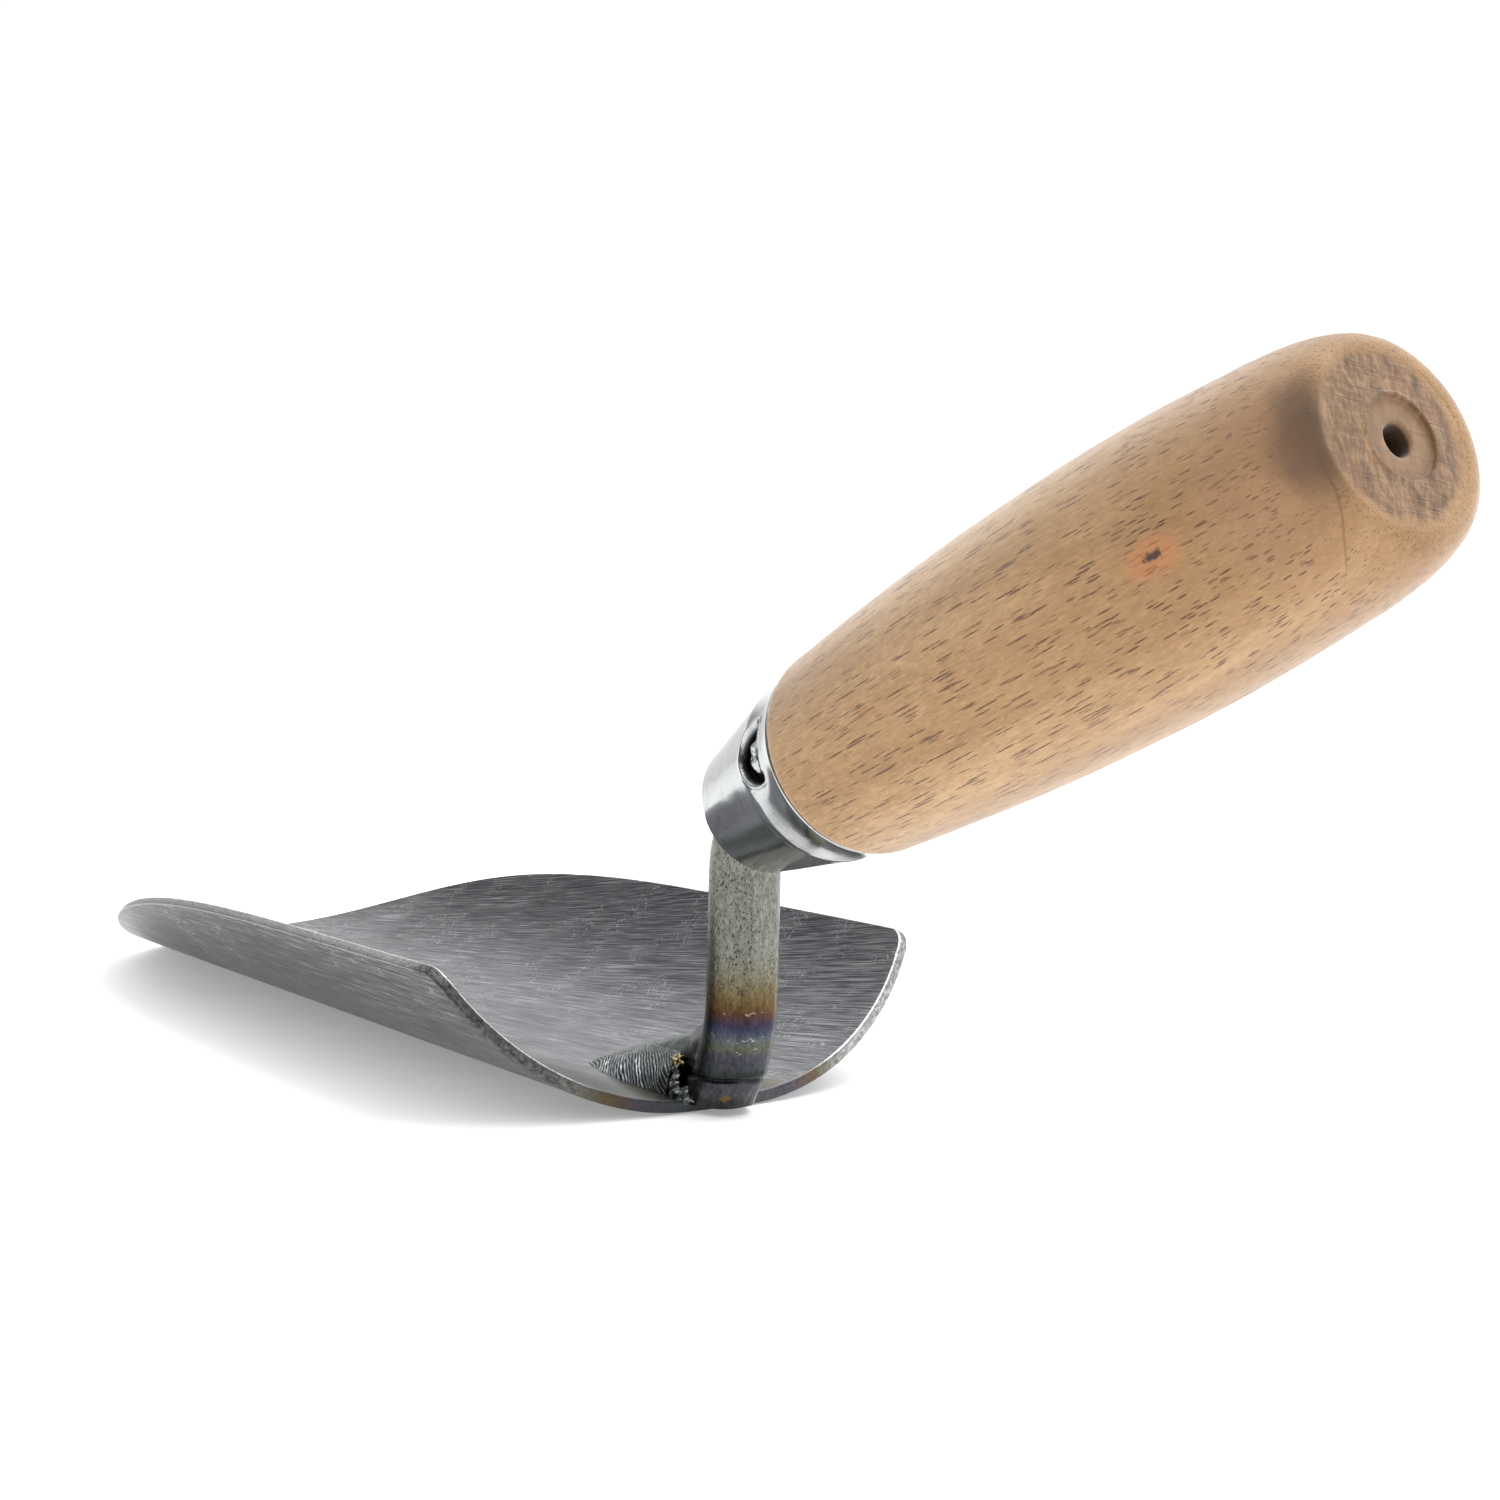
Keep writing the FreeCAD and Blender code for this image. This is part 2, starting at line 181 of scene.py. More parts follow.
def on_sheet(x, u, offset):
    """Roll flat coordinates up; offset runs from the inner face outwards."""
    beyond = np.maximum(np.abs(u) - FLAT_W, 0.0)
    a = beyond / ROLL_R
    r = ROLL_R + offset
    y = np.sign(u) * (np.minimum(np.abs(u), FLAT_W) + r * np.sin(a))
    return np.stack([x, y, ROLL_R - r * np.cos(a)], -1)


def make_blade():
    n, m = 200, 170
    edge, steps = 0.30, 5
    sig = 1.0 - (1.0 - np.linspace(0.0, 0.99998, n)) ** TIP_ROUND
    sig[-1] = 0.99999
    w = np.sin(np.linspace(-math.pi / 2, math.pi / 2, m))
    x, u = blank(*np.meshgrid(sig, w, indexing="ij"), edge)
    verts, loc, rim = [], [], []
    for off in (0.0, SHEET_T):
        verts.append(on_sheet(x, u, off).reshape(-1, 3))
        loc.append(np.stack([x, u, np.full_like(x, off)], -1).reshape(-1, 3))
        rim.append(np.zeros(n * m))
    faces = grid_faces(n, m) + grid_faces(n, m, n * m, flip=True)
    # the border of the grid, once round
    ring = [(0, j) for j in range(m)] + [(i, m - 1) for i in range(1, n)]
    ring += [(n - 1, j) for j in range(m - 2, -1, -1)] + [(i, 0) for i in range(n - 2, 0, -1)]
    border = np.array([i * m + j for i, j in ring])
    ring_sig = np.array([sig[i] for i, _ in ring])
    ring_w = np.array([w[j] for _, j in ring])
    # the rolled-over edge: a flattened quarter round, the sheared face, and a quarter round
    angles = 0.5 * math.pi * np.arange(1, steps + 1) / steps
    prof = [(edge * (1.0 - math.sin(a)), edge * 1.5 * (1.0 - math.cos(a))) for a in angles]
    angles = 0.5 * math.pi * np.arange(0, steps) / steps
    prof += [(edge * (1.0 - math.cos(a)), SHEET_T - edge * (1.0 - math.sin(a))) for a in angles]
    loops = [border.tolist()]
    base, count = 2 * n * m, len(ring)
    for inset, off in prof:
        bx, bu = blank(ring_sig, ring_w, inset)
        p = on_sheet(bx, bu, off)
        # tiny nicks along the cut edge
        nick = wobble(np.stack([bx, bu, np.full_like(bx, off * 0.6)], -1), 1.1, 3)
        deep = np.maximum(nick - 0.33, 0.0) * 0.42
        inward = on_sheet(*blank(ring_sig, ring_w, inset + 1.0), off) - p
        length = np.maximum(np.linalg.norm(inward, axis=-1, keepdims=True), 1e-6)
        verts.append(p + inward / length * deep[:, None])
        loc.append(np.stack([bx, bu, np.full_like(bx, off)], -1))
        rim.append(np.ones(count))
        loops.append(list(range(base, base + count)))
        base += count
    loops.append((border + n * m).tolist())
    for a, b in zip(loops[:-1], loops[1:]):
        for t in range(count):
            t2 = (t + 1) % count
            faces.append([a[t], b[t], b[t2], a[t2]])
    V = np.concatenate(verts)
    # hand-rolled sheet: a very slight unevenness of the curve
    V[:, 2] += 0.10 * wobble(V * [1, 1, 0.0], 38.0, 5) * smooth(np.abs(V[:, 1]), 8.0, 20.0)
    return mesh_from("trowel_blade", V, faces, np.concatenate(loc), {"rim": np.concatenate(rim)})


# ---------- Round things on the handle's axis
def on_axis(s, r, phi):
    """phi is measured from the top of the axis towards the near side."""
    s, r, phi = np.broadcast_arrays(s, r, phi)
    return (RIM + s[..., None] * ALONG + (r * np.cos(phi))[..., None] * ACROSS
            + (r * np.sin(phi))[..., None] * NEAR)


def frame_of(s, r, phi):
    """The same point as (distance along the axis, upwards, towards the near side)."""
    s, r, phi = np.broadcast_arrays(s, r, phi)
    return np.stack([s, r * np.cos(phi), r * np.sin(phi)], -1)


def closed_tube(rings):
    """Verts and faces of a tube with both ends closed by a fan."""
    n, m, _ = rings.shape
    verts = rings.reshape(-1, 3)
    faces = grid_faces(n, m, wrap=True)
    ends = np.stack([rings[0].mean(0), rings[-1].mean(0)])
    verts = np.concatenate([verts, ends])
    a, b = n * m, n * m + 1
    for j in range(m):
        k = (j + 1) % m
        faces.append([a, k, j])
        faces.append([b, (n - 1) * m + j, (n - 1) * m + k])
    return verts, faces


def voxel_union(name, blocks, voxel, relax):
    """One skin round several closed blocks, each given as (verts, faces)."""
    verts, faces, base = [], [], 0
    for v, f in blocks:
        verts.append(v)
        faces += [[i + base for i in q] for q in f]
        base += len(v)
    ob = mesh_from(name + "_blank", np.concatenate(verts), faces)
    union = ob.modifiers.new("union", "REMESH")
    union.mode = "VOXEL"
    union.voxel_size = voxel * MM
    soften = ob.modifiers.new("relax", "SMOOTH")
    soften.factor = 0.5
    soften.iterations = relax
    skin = bpy.data.meshes.new_from_object(ob.evaluated_get(bpy.context.evaluated_depsgraph_get()))
    skin.name = name
    blank_mesh = ob.data
    bpy.data.objects.remove(ob)
    bpy.data.meshes.remove(blank_mesh)
    new = bpy.data.objects.new(name, skin)
    bpy.context.scene.collection.objects.link(new)
    return new


def neck_path():
    """Centreline points and directions from the lean at the elbow up into the ferrule."""
    lean = np.array([NECK_X - ELBOW_R, 0.0, ELBOW_TOP_Z])
    pts, dirs = [], []
    for a in np.radians(np.linspace(44.0, 0.0, 16)):
        pts.append(lean + ELBOW_R * np.array([math.cos(a), 0.0, -math.sin(a)]))
        dirs.append(np.array([math.sin(a), 0.0, math.cos(a)]))
    meet = RIM + ALONG * (NECK_X - RIM[0]) / math.cos(TILT)
    turn = math.pi / 2 - TILT
    reach = GOOSE_R * math.tan(turn / 2)
    z1 = meet[2] - reach
    for z in np.linspace(ELBOW_TOP_Z, z1, 18)[1:]:
        pts.append(np.array([NECK_X, 0.0, z]))
        dirs.append(np.array([0.0, 0.0, 1.0]))
    c = np.array([NECK_X + GOOSE_R, 0.0, z1])
    for a in np.linspace(0.0, turn, 14)[1:]:
        pts.append(c + GOOSE_R * np.array([-math.cos(a), 0.0, math.sin(a)]))
        dirs.append(np.array([math.sin(a), 0.0, math.cos(a)]))
    for s in (1.0, 3.0, 5.0):
        pts.append(meet + ALONG * (reach + s))
        dirs.append(ALONG)
    return np.array(pts), np.array(dirs)


def rod_section(sides):
    """Outline of the rod, slightly flattened where the bending tool gripped it."""
    phi = around(sides)
    f = np.ones_like(phi)
    for centre, half in ((-1.15, 0.46), (0.10, 0.44), (1.9, 0.5), (3.4, 0.5)):
        d = np.abs((phi - centre + math.pi) % FULL_TURN - math.pi)
        chord = math.cos(half) / np.cos(np.minimum(d, half))
        f = f - 0.55 * (1.0 - chord)
    return (ROD_R * f * np.cos(phi))[:, None], (ROD_R * f * np.sin(phi))[:, None]


def neck_block():
    """The rod from the elbow up into the ferrule."""
    up, over = rod_section(96)
    side = np.array([0.0, 1.0, 0.0])
    return closed_tube(np.array([c + up * np.cross(side, d) + over * side for c, d in zip(*neck_path())]))


def elbow_block():
    """Block under the elbow, rounded at its lower rim."""
    a = around(64)
    rings = []
    for z, r in ((ELBOW_Z - 0.3, 3.6), (ELBOW_Z, 4.25), (ELBOW_Z + 0.5, 4.75), (ELBOW_Z + 1.3, 4.98),
                 (1.8, 5.02), (3.0, 4.96), (3.55, 4.75), (4.1, 4.2), (5.0, 3.0)):
        rings.append(np.stack([0.25 + 0.05 * z + r * np.cos(a), r * np.sin(a), np.full(64, z)], -1))
    return closed_tube(np.array(rings))


def foot_block():
    """Forged foot that gets lower and narrower towards the tip of the blade."""
    length, top_height, end_height = 27.0, 10.5, 1.5
    a = around(56)
    rings = []
    for t in np.linspace(0.0, 1.0, 24):
        x = -length * t + 1.0 * (1 - t)
        top = top_height + (end_height - top_height) * t ** 1.05
        half = 3.9 + (3.1 - 3.9) * t
        if t > 0.9:
            half *= 1.0 - 0.35 * ((t - 0.9) / 0.1) ** 2
        mid = 0.42 * top
        up = np.where(np.sin(a) > 0, top - mid, mid + 1.2)
        rings.append(np.stack([np.full(56, x), half * np.cos(a), mid + up * np.sin(a)], -1))
    return closed_tube(np.array(rings)[:, ::-1])


def web_block():
    """Heavy web that rounds the inside corner between foot and neck."""
    a = around(40)
    rings = []
    for t in np.linspace(0, 1, 8):
        rings.append(np.stack([-4.6 + 6.6 * t + 0 * a, (2.9 + 1.1 * t) * np.cos(a),
                               5.0 + 3.2 * t + (4.2 + 0.9 * t) * np.sin(a)], -1))
    return closed_tube(np.array(rings)[:, ::-1])


def make_shank():
    ob = voxel_union("shank_rod", [neck_block(), elbow_block(), foot_block(), web_block()], 0.21, 5)
    co, n = points_and_normals(ob)
    grow = 0.055 * wobble(co, 2.2, 11) + 0.028 * wobble(co, 0.8, 12)
    grow *= 0.35 + 0.8 * smooth(co[:, 2], 12.0, 4.0)
    # crease where the rod folds over the heel edge, and small pits in the scale above it
    crease = 3.45 + 0.25 * wobble(co * [1, 1, 0], 3.0, 13)
    behind = smooth(co[:, 0], -3.0, -1.0)
    grow -= 0.34 * np.exp(-((co[:, 2] - crease) / 0.30) ** 2) * behind
    grow += 0.16 * np.exp(-((co[:, 2] - crease - 0.75) / 0.45) ** 2) * behind
    pits = np.maximum(wobble(co * [1, 1, 0.7], 0.42, 14) - 0.30, 0.0)
    grow -= 0.22 * pits * smooth(co[:, 2], 12.0, 20.0)
    co = co + n * np.minimum(grow, 0.12)[:, None]
    # the underside is dressed flat: a little higher on the sheet than behind the heel
    co[:, 2] = np.maximum(co[:, 2], np.where(co[:, 0] > -0.6, ELBOW_Z, -0.7))
    return move_points(ob, co)


def inner_z(y):
    """Height of the sheet's inner face at y."""
    a = np.maximum(np.abs(y) - FLAT_W, 0.0)
    return ROLL_R - np.sqrt(ROLL_R ** 2 - a * a)


def make_bead(side, seed):
    """Fillet bead along the foot: v runs from the toe on the sheet to the line on the foot."""
    n, m = 460, 84
    t = np.linspace(0.0, 1.0, n)[:, None]
    v = np.linspace(0.0, 1.0, m)[None, :]
    x = -4.9 - 23.6 * t + 0 * v
    line = x[:, 0]
    jag = 0.16 * wobble(np.stack([line, 0 * line, 0 * line], -1), 1.0, seed)
    stations = [-28.5, -27.8, -24.0, -17.2, -6.4, -4.9]
    toe = (np.interp(line, stations, [4.0, 4.6, 5.5, 6.35, 6.45, 5.9]) + jag)[:, None]
    marks = [-28.5, -20.9, -17.5, -14.0, -10.0, -6.0, -4.9]
    edge_y = np.interp(line, marks, [0.7, 0.8, 1.3, 2.4, 3.1, 3.5, 3.6])[:, None]
    edge_z = np.interp(line, marks, [0.8, 3.2, 4.6, 5.3, 5.5, 5.8, 5.8])[:, None]
    end = 1.0 - smooth(t, 0.94, 1.0)
    base = inner_z(toe) - 0.05
    y = toe + (edge_y - toe) * v
    z = base + (edge_z - base) * v
    across = np.sqrt((toe - edge_y) ** 2 + (edge_z - base) ** 2)
    ny, nz = (edge_z - base) / across, (toe - edge_y) / across
    crown = 0.11 * across * np.sin(math.pi * v ** 0.85) * (0.4 + 0.6 * end)
    # crescent ripples: they start along the upper line and curl down and back to the toe
    down = 1.0 - v
    place = np.stack([x, y, z], -1)
    curl = 9.6 * down ** 0.6 * (0.35 + 0.65 * smooth(across, 2.0, 5.5))
    drift = 1.15 * wobble(place * [1, 0.3, 0.3], 4.0, seed + 1) + 0.34 * wobble(place, 1.3, seed + 4)
    phase = (x - curl) / 0.92 + drift
    saw = phase - np.floor(phase)
    ridge = np.where(saw < 0.66, saw / 0.66, (1.0 - saw) / 0.34) ** 1.6
    second = 0.5 + 0.5 * np.sin(FULL_TURN * (phase * 1.83 + 0.4))
    each = np.stack([np.floor(phase), v * 2.0 + 0 * x, 0 * x], -1)
    strength = 0.72 + 0.8 * wobble(each, 1.7, seed + 5)
    fade = np.clip(np.sin(math.pi * np.clip(v * 0.90 + 0.09, 0, 1)), 0, 1) ** 0.5
    scallop = 0.20 * (ridge - 0.4) * (1.0 - smooth(v, 0.0, 0.16))
    calm = 1.0 - 0.75 * smooth(x, -10.5, -6.0)
    rip = ((ridge - 0.5) * 0.27 * strength + (second - 0.5) * 0.08) * fade * calm * (0.3 + 0.7 * end)
    rip = rip + (1.0 - calm) * 0.16 * wobble(place, 1.4, seed + 6)
    bump = crown + rip + 0.035 * wobble(place, 0.45, seed + 2)
    P = np.stack([x, side * (y + ny * bump + scallop), z + nz * bump], -1)
    # three hidden lines close the bead inside the foot and under the sheet's inner face
    hide = np.stack([P[:, -1, 0], P[:, -1, 1] * 0.35, np.minimum(P[:, -1, 2] - 0.9, 4.2)], -1)
    under = np.stack([P[:, 0, 0], P[:, 0, 1] * 0.4, np.full(n, -0.6)], -1)
    under2 = np.stack([P[:, 0, 0], P[:, 0, 1] * 0.98, np.full(n, -0.5)], -1)
    rings = np.concatenate([P, hide[:, None], under[:, None], under2[:, None]], 1)
    # painted light and shade: the ripples' crests get a light weight and their valleys a dark one
    ridge_shade = np.concatenate([ridge * fade + (1 - fade) * 0.6, np.full((n, 3), 0.5)], 1)
    if side < 0:
        rings, ridge_shade = rings[:, ::-1], ridge_shade[:, ::-1]
    verts, faces = closed_tube(rings)
    crest_shade_and_tone = np.concatenate([ridge_shade.ravel(), [0.5, 0.5]])
    return mesh_from("foot_bead_" + ("far" if side > 0 else "near"), verts, faces, verts.copy(),
                     {"crest_shade_and_tone": crest_shade_and_tone})


def blob(rng, centre, r, sides=14):
    """Small uneven ball of weld metal."""
    T, F = np.meshgrid(np.linspace(0.0, math.pi, sides), around(sides * 2), indexing="ij")
    d = np.stack([np.sin(T) * np.cos(F), np.sin(T) * np.sin(F), np.cos(T)], -1)
    s = 1.0 + 0.22 * wobble(d + rng.uniform(-50, 50, 3), 0.9, 7)
    return closed_tube(np.asarray(centre) + d * (r * s)[..., None] * rng.uniform(0.75, 1.2, 3))


def make_tack(side, seed):
    """Rough spattered weld in the corner between elbow, foot bead and heel edge."""
    rng = np.random.default_rng(seed)
    near = side < 0
    top, climbing, lying = (5.6, 90, 26) if near else (3.4, 44, 16)
    blocks = []
    for _ in range(climbing):
        t = rng.uniform(0.0, 1.0)
        x = -4.3 + 2.0 * t + rng.normal(0.0, 0.35)
        y = 4.2 + 1.9 * t + rng.normal(0.0, 0.35)
        z = top * (1.0 - t) ** 1.2 + rng.normal(0.0, 0.35) + 0.1
        blocks.append(blob(rng, (x, side * min(y, 6.9), max(z, -0.3)), rng.uniform(0.22, 0.52)))
    for _ in range(lying):
        x = rng.uniform(-2.6, 0.3)
        y = 5.0 + 0.9 * rng.uniform(-1.0, 1.0)
        blocks.append(blob(rng, (x, side * y, rng.uniform(-0.5, 1.2)), rng.uniform(0.3, 0.75)))
    blocks.append(blob(rng, (-1.9, side * 4.6, -0.1), 1.45, 20))
    ob = voxel_union("heel_tack_" + ("near" if near else "far"), blocks, 0.12, 2)
    co, n = points_and_normals(ob)
    co += n * (0.07 * wobble(co, 0.4, seed))[:, None]
    co[:, 2] = np.maximum(co[:, 2], -1.0)
    return move_points(ob, co, {"crest_shade_and_tone": 0.5 + 0.5 * wobble(co, 0.6, seed + 3)})


# ---------- Ferrule with its crescent stake
def profile_grid(prof, sides):
    """Distances, radii and marks of a turned profile, spread round the axis, and the angles."""
    phi = around(sides)
    s, r, mark = (column[:, None] + 0 * phi for column in np.array(prof).T)
    return s, r, mark, phi


def make_ferrule():
    nose, knee = -FERRULE_LEN, -FERRULE_KNEE
    # (distance, radius, weight of the fine detail): inside, rolled nose, cone and flare, rim
    prof = [(nose + 6.0, 7.0, 0.0), (nose + 0.9, 7.0, 0.0), (nose + 0.15, 7.15, 0.0)]
    prof += [(nose, 7.5, 0.0), (nose, 8.0, 0.0)]
    for a in np.radians(np.linspace(0, 78, 9)):
        prof.append((nose + 1.15 * (1 - math.cos(a)), FERRULE_NOSE_R - 1.2 + 1.2 * math.sin(a) + 0.02, 0.0))
    s = np.linspace(nose + 1.3, -0.35, 250)
    cone = FERRULE_KNEE_R + (FERRULE_NOSE_R - FERRULE_KNEE_R) * (knee - s) / (knee - nose)
    out = np.clip((s - knee) / FERRULE_KNEE, 0.0, 1.0)
    flare = FERRULE_KNEE_R + (FERRULE_RIM_R - FERRULE_KNEE_R) * out ** 2.8
    k = smooth(s, knee - 1.7, knee + 0.6)
    prof += [(si, ri, 1.0) for si, ri in zip(s, cone * (1 - k) + flare * k)]
    prof += [(-0.18, 13.74, 0.0), (-0.04, 13.62, 0.0), (0.0, 13.42, 0.0), (0.0, 12.9, 0.0)]
    prof += [(-1.5, 12.6, 0.0)]
    S, R, on, phi = profile_grid(prof, 520)
    # local stake coordinates: a towards the nose, b round the rim, at the radius stake_r
    stake_r = 13.0
    a = -(S - STAKE_S)
    b = (phi - STAKE_PHI) * stake_r + 0 * S
    flat = np.stack([a, b, 0 * a], -1)
    # distance to the C-shaped cut, an arc through the ends (0, +-half) and the crown (bulge, 0)
    half, bulge, stroke = 3.65, 4.0, 0.88
    radius = (half * half + bulge * bulge) / (2.0 * bulge)
    mid = bulge - radius
    away = np.hypot(a - mid, b)
    along_arc = np.arctan2(b, a - mid)
    stop = math.atan2(half, -mid)
    past = np.maximum(np.abs(along_arc) - stop, 0.0) * radius
    to_arc = np.hypot(away - radius, past) + 0.10 * wobble(flat, 1.2, 22)
    width = stroke * (1.0 - 0.25 * np.clip(np.abs(along_arc) / stop, 0, 1) ** 2)
    slot = 1.0 - smooth(to_arc, width - 0.22, width + 0.10)
    inside = (away < radius) & (a > -0.9)
    tab = np.where(inside, smooth(radius - away, 0.0, 0.8) * smooth(a, -1.1, 1.9), 0.0)
    torn = 0.42 * wobble(flat, 1.7, 23) + 0.06 * wobble(flat, 0.6, 24)
    cut = np.maximum(slot * 1.9, tab * (0.75 + 0.35 * np.clip(a, 0, 3) / 3 + torn))
    lip = 0.07 * np.exp(-((to_arc - width - 0.3) / 0.25) ** 2) * (away > radius)
    loc = frame_of(S, R, phi)
    dents = 0.03 * wobble(loc, 4.0, 21)
    V = on_axis(S, R - on * cut + on * lip + on * dents, phi)
    faces = grid_faces(len(prof), len(phi), wrap=True, flip=True)
    return mesh_from("ferrule_cone", V.reshape(-1, 3), faces, loc.reshape(-1, 3),
                     {"slot": (on * slot).ravel()})


# ---------- Handle
def barrel_radius(s):
    """Two shallow arcs that meet level at the belly."""
    front_run, front_rise = 52.5, 2.17
    rear_run, rear_rise = 27.6, 1.22
    front_r = (front_run ** 2 + front_rise ** 2) / (2 * front_rise)
    rear_r = (rear_run ** 2 + rear_rise ** 2) / (2 * rear_rise)
    d = s - BELLY_S
    big = np.where(d < 0, front_r, rear_r)
    return BELLY_R - (big - np.sqrt(big * big - d * d))


def handle_profile():
    """(distance, radius, part): part 0 is the front lip, 1 the turned side, 2 the butt's face."""
    prof = [(-1.6, 12.3, 0.0), (-0.02, 12.7, 0.0), (0.0, 13.0, 0.0), (0.12, 13.4, 0.0)]
    prof += [(0.45, 13.82, 0.0), (0.9, 14.08, 0.0)]
    barrel = np.linspace(1.5, 80.5, 240)
    prof += [(s, r, 1.0) for s, r in zip(barrel, barrel_radius(barrel))]
    # rounded shoulder, stepped evenly along its length
    crown_s = [81.6, 85.5, 89.0, 91.5, 93.4, 95.0, 96.2, 97.1, 97.7, 97.95, WOOD_LEN]
    crown_r = [15.2, 14.9, 14.45, 14.02, 13.55, 13.0, 12.45, 11.8, 11.0, 10.2, 9.4]
    run = np.concatenate([[0.0], np.cumsum(np.hypot(np.diff(crown_s), np.diff(crown_r)))])
    steps = np.linspace(0.0, run[-1], 84)
    prof += [(s, r, 1.0) for s, r in zip(np.interp(steps, run, crown_s), np.interp(steps, run, crown_r))]
    # end face, shallow recess and blind hole
    face = [(WOOD_LEN, r) for r in np.linspace(9.1, 4.95, 32)]
    face += [(97.9, 4.82), (97.6, 4.78), (97.4, 4.72), (97.32, 4.5)]
    face += [(97.3, r) for r in np.linspace(4.2, 2.35, 14)]
    face += [(97.25, 2.1), (97.05, 1.92), (96.7, 1.82), (96.1, 1.78), (94.0, 1.75), (91.0, 1.7)]
    face += [(90.4, 0.9), (90.3, 0.02)]
    return prof + [(s, r, 2.0) for s, r in face]


def make_handle():
    prof = handle_profile()
    S, R, part, phi = profile_grid(prof, 360)
    turned, face = part == 1.0, part == 2.0
    base = frame_of(S, R, phi)
    bump = 0.06 * wobble(base, 16.0, 31) + 0.018 * wobble(base * [0.25, 1, 1], 1.6, 32)
    R2 = R + turned * (bump - 0.03) * smooth(S, 0.5, 6.0)
    # the butt was sawn a little out of square, leaving a rough face with a soft edge
    tilt = 97.86 - 0.030 * R * np.cos(phi - 1.5)
    outer = turned & (S > 90.0) | face & (R > 4.9)
    ring = np.stack([0 * phi, 6.0 * np.cos(phi), 6.0 * np.sin(phi)], -1)
    edge_r = 9.2 + 1.5 * np.cos(phi - 1.48) + 0.25 * wobble(ring, 3.0, 35)
    sawn = smooth(edge_r - R, -0.9, 0.7) * (S > 96.0)
    S2 = np.where(outer, np.where(S > tilt, tilt + 0.12 * (S - tilt), S), S)
    S2 = np.where(face, np.minimum(S2, 97.95), S2)
    rough = 0.05 * wobble(base, 1.3, 33) + 0.03 * wobble(base, 0.55, 34) - 0.03
    burr = 0.16 * np.exp(-((R - 5.05) / 0.16) ** 2) * face * smooth(np.cos(phi - 0.9), -0.2, 0.6)
    on_face = np.maximum(sawn, face & (R > 2.3) & (S > 97.25))
    # the floor of the recess is smoother
    calm = np.where(R < 4.75, 0.4, 1.0)
    S2 = np.minimum(S2 + on_face * rough * calm + burr, 98.1)
    butt = np.where(face & (S < 97.5), 1.0, sawn)
    cup = (face & (R < 4.76) & (S > 96.9)) * 1.0
    hole = (face & (S < 97.0)) * 1.0
    faces = grid_faces(len(prof), len(phi), wrap=True, flip=True)
    return mesh_from("handle_wood", on_axis(S2, R2, phi).reshape(-1, 3), faces, base.reshape(-1, 3),
                     {"butt": butt.ravel(), "hole": hole.ravel(), "cup": cup.ravel()})


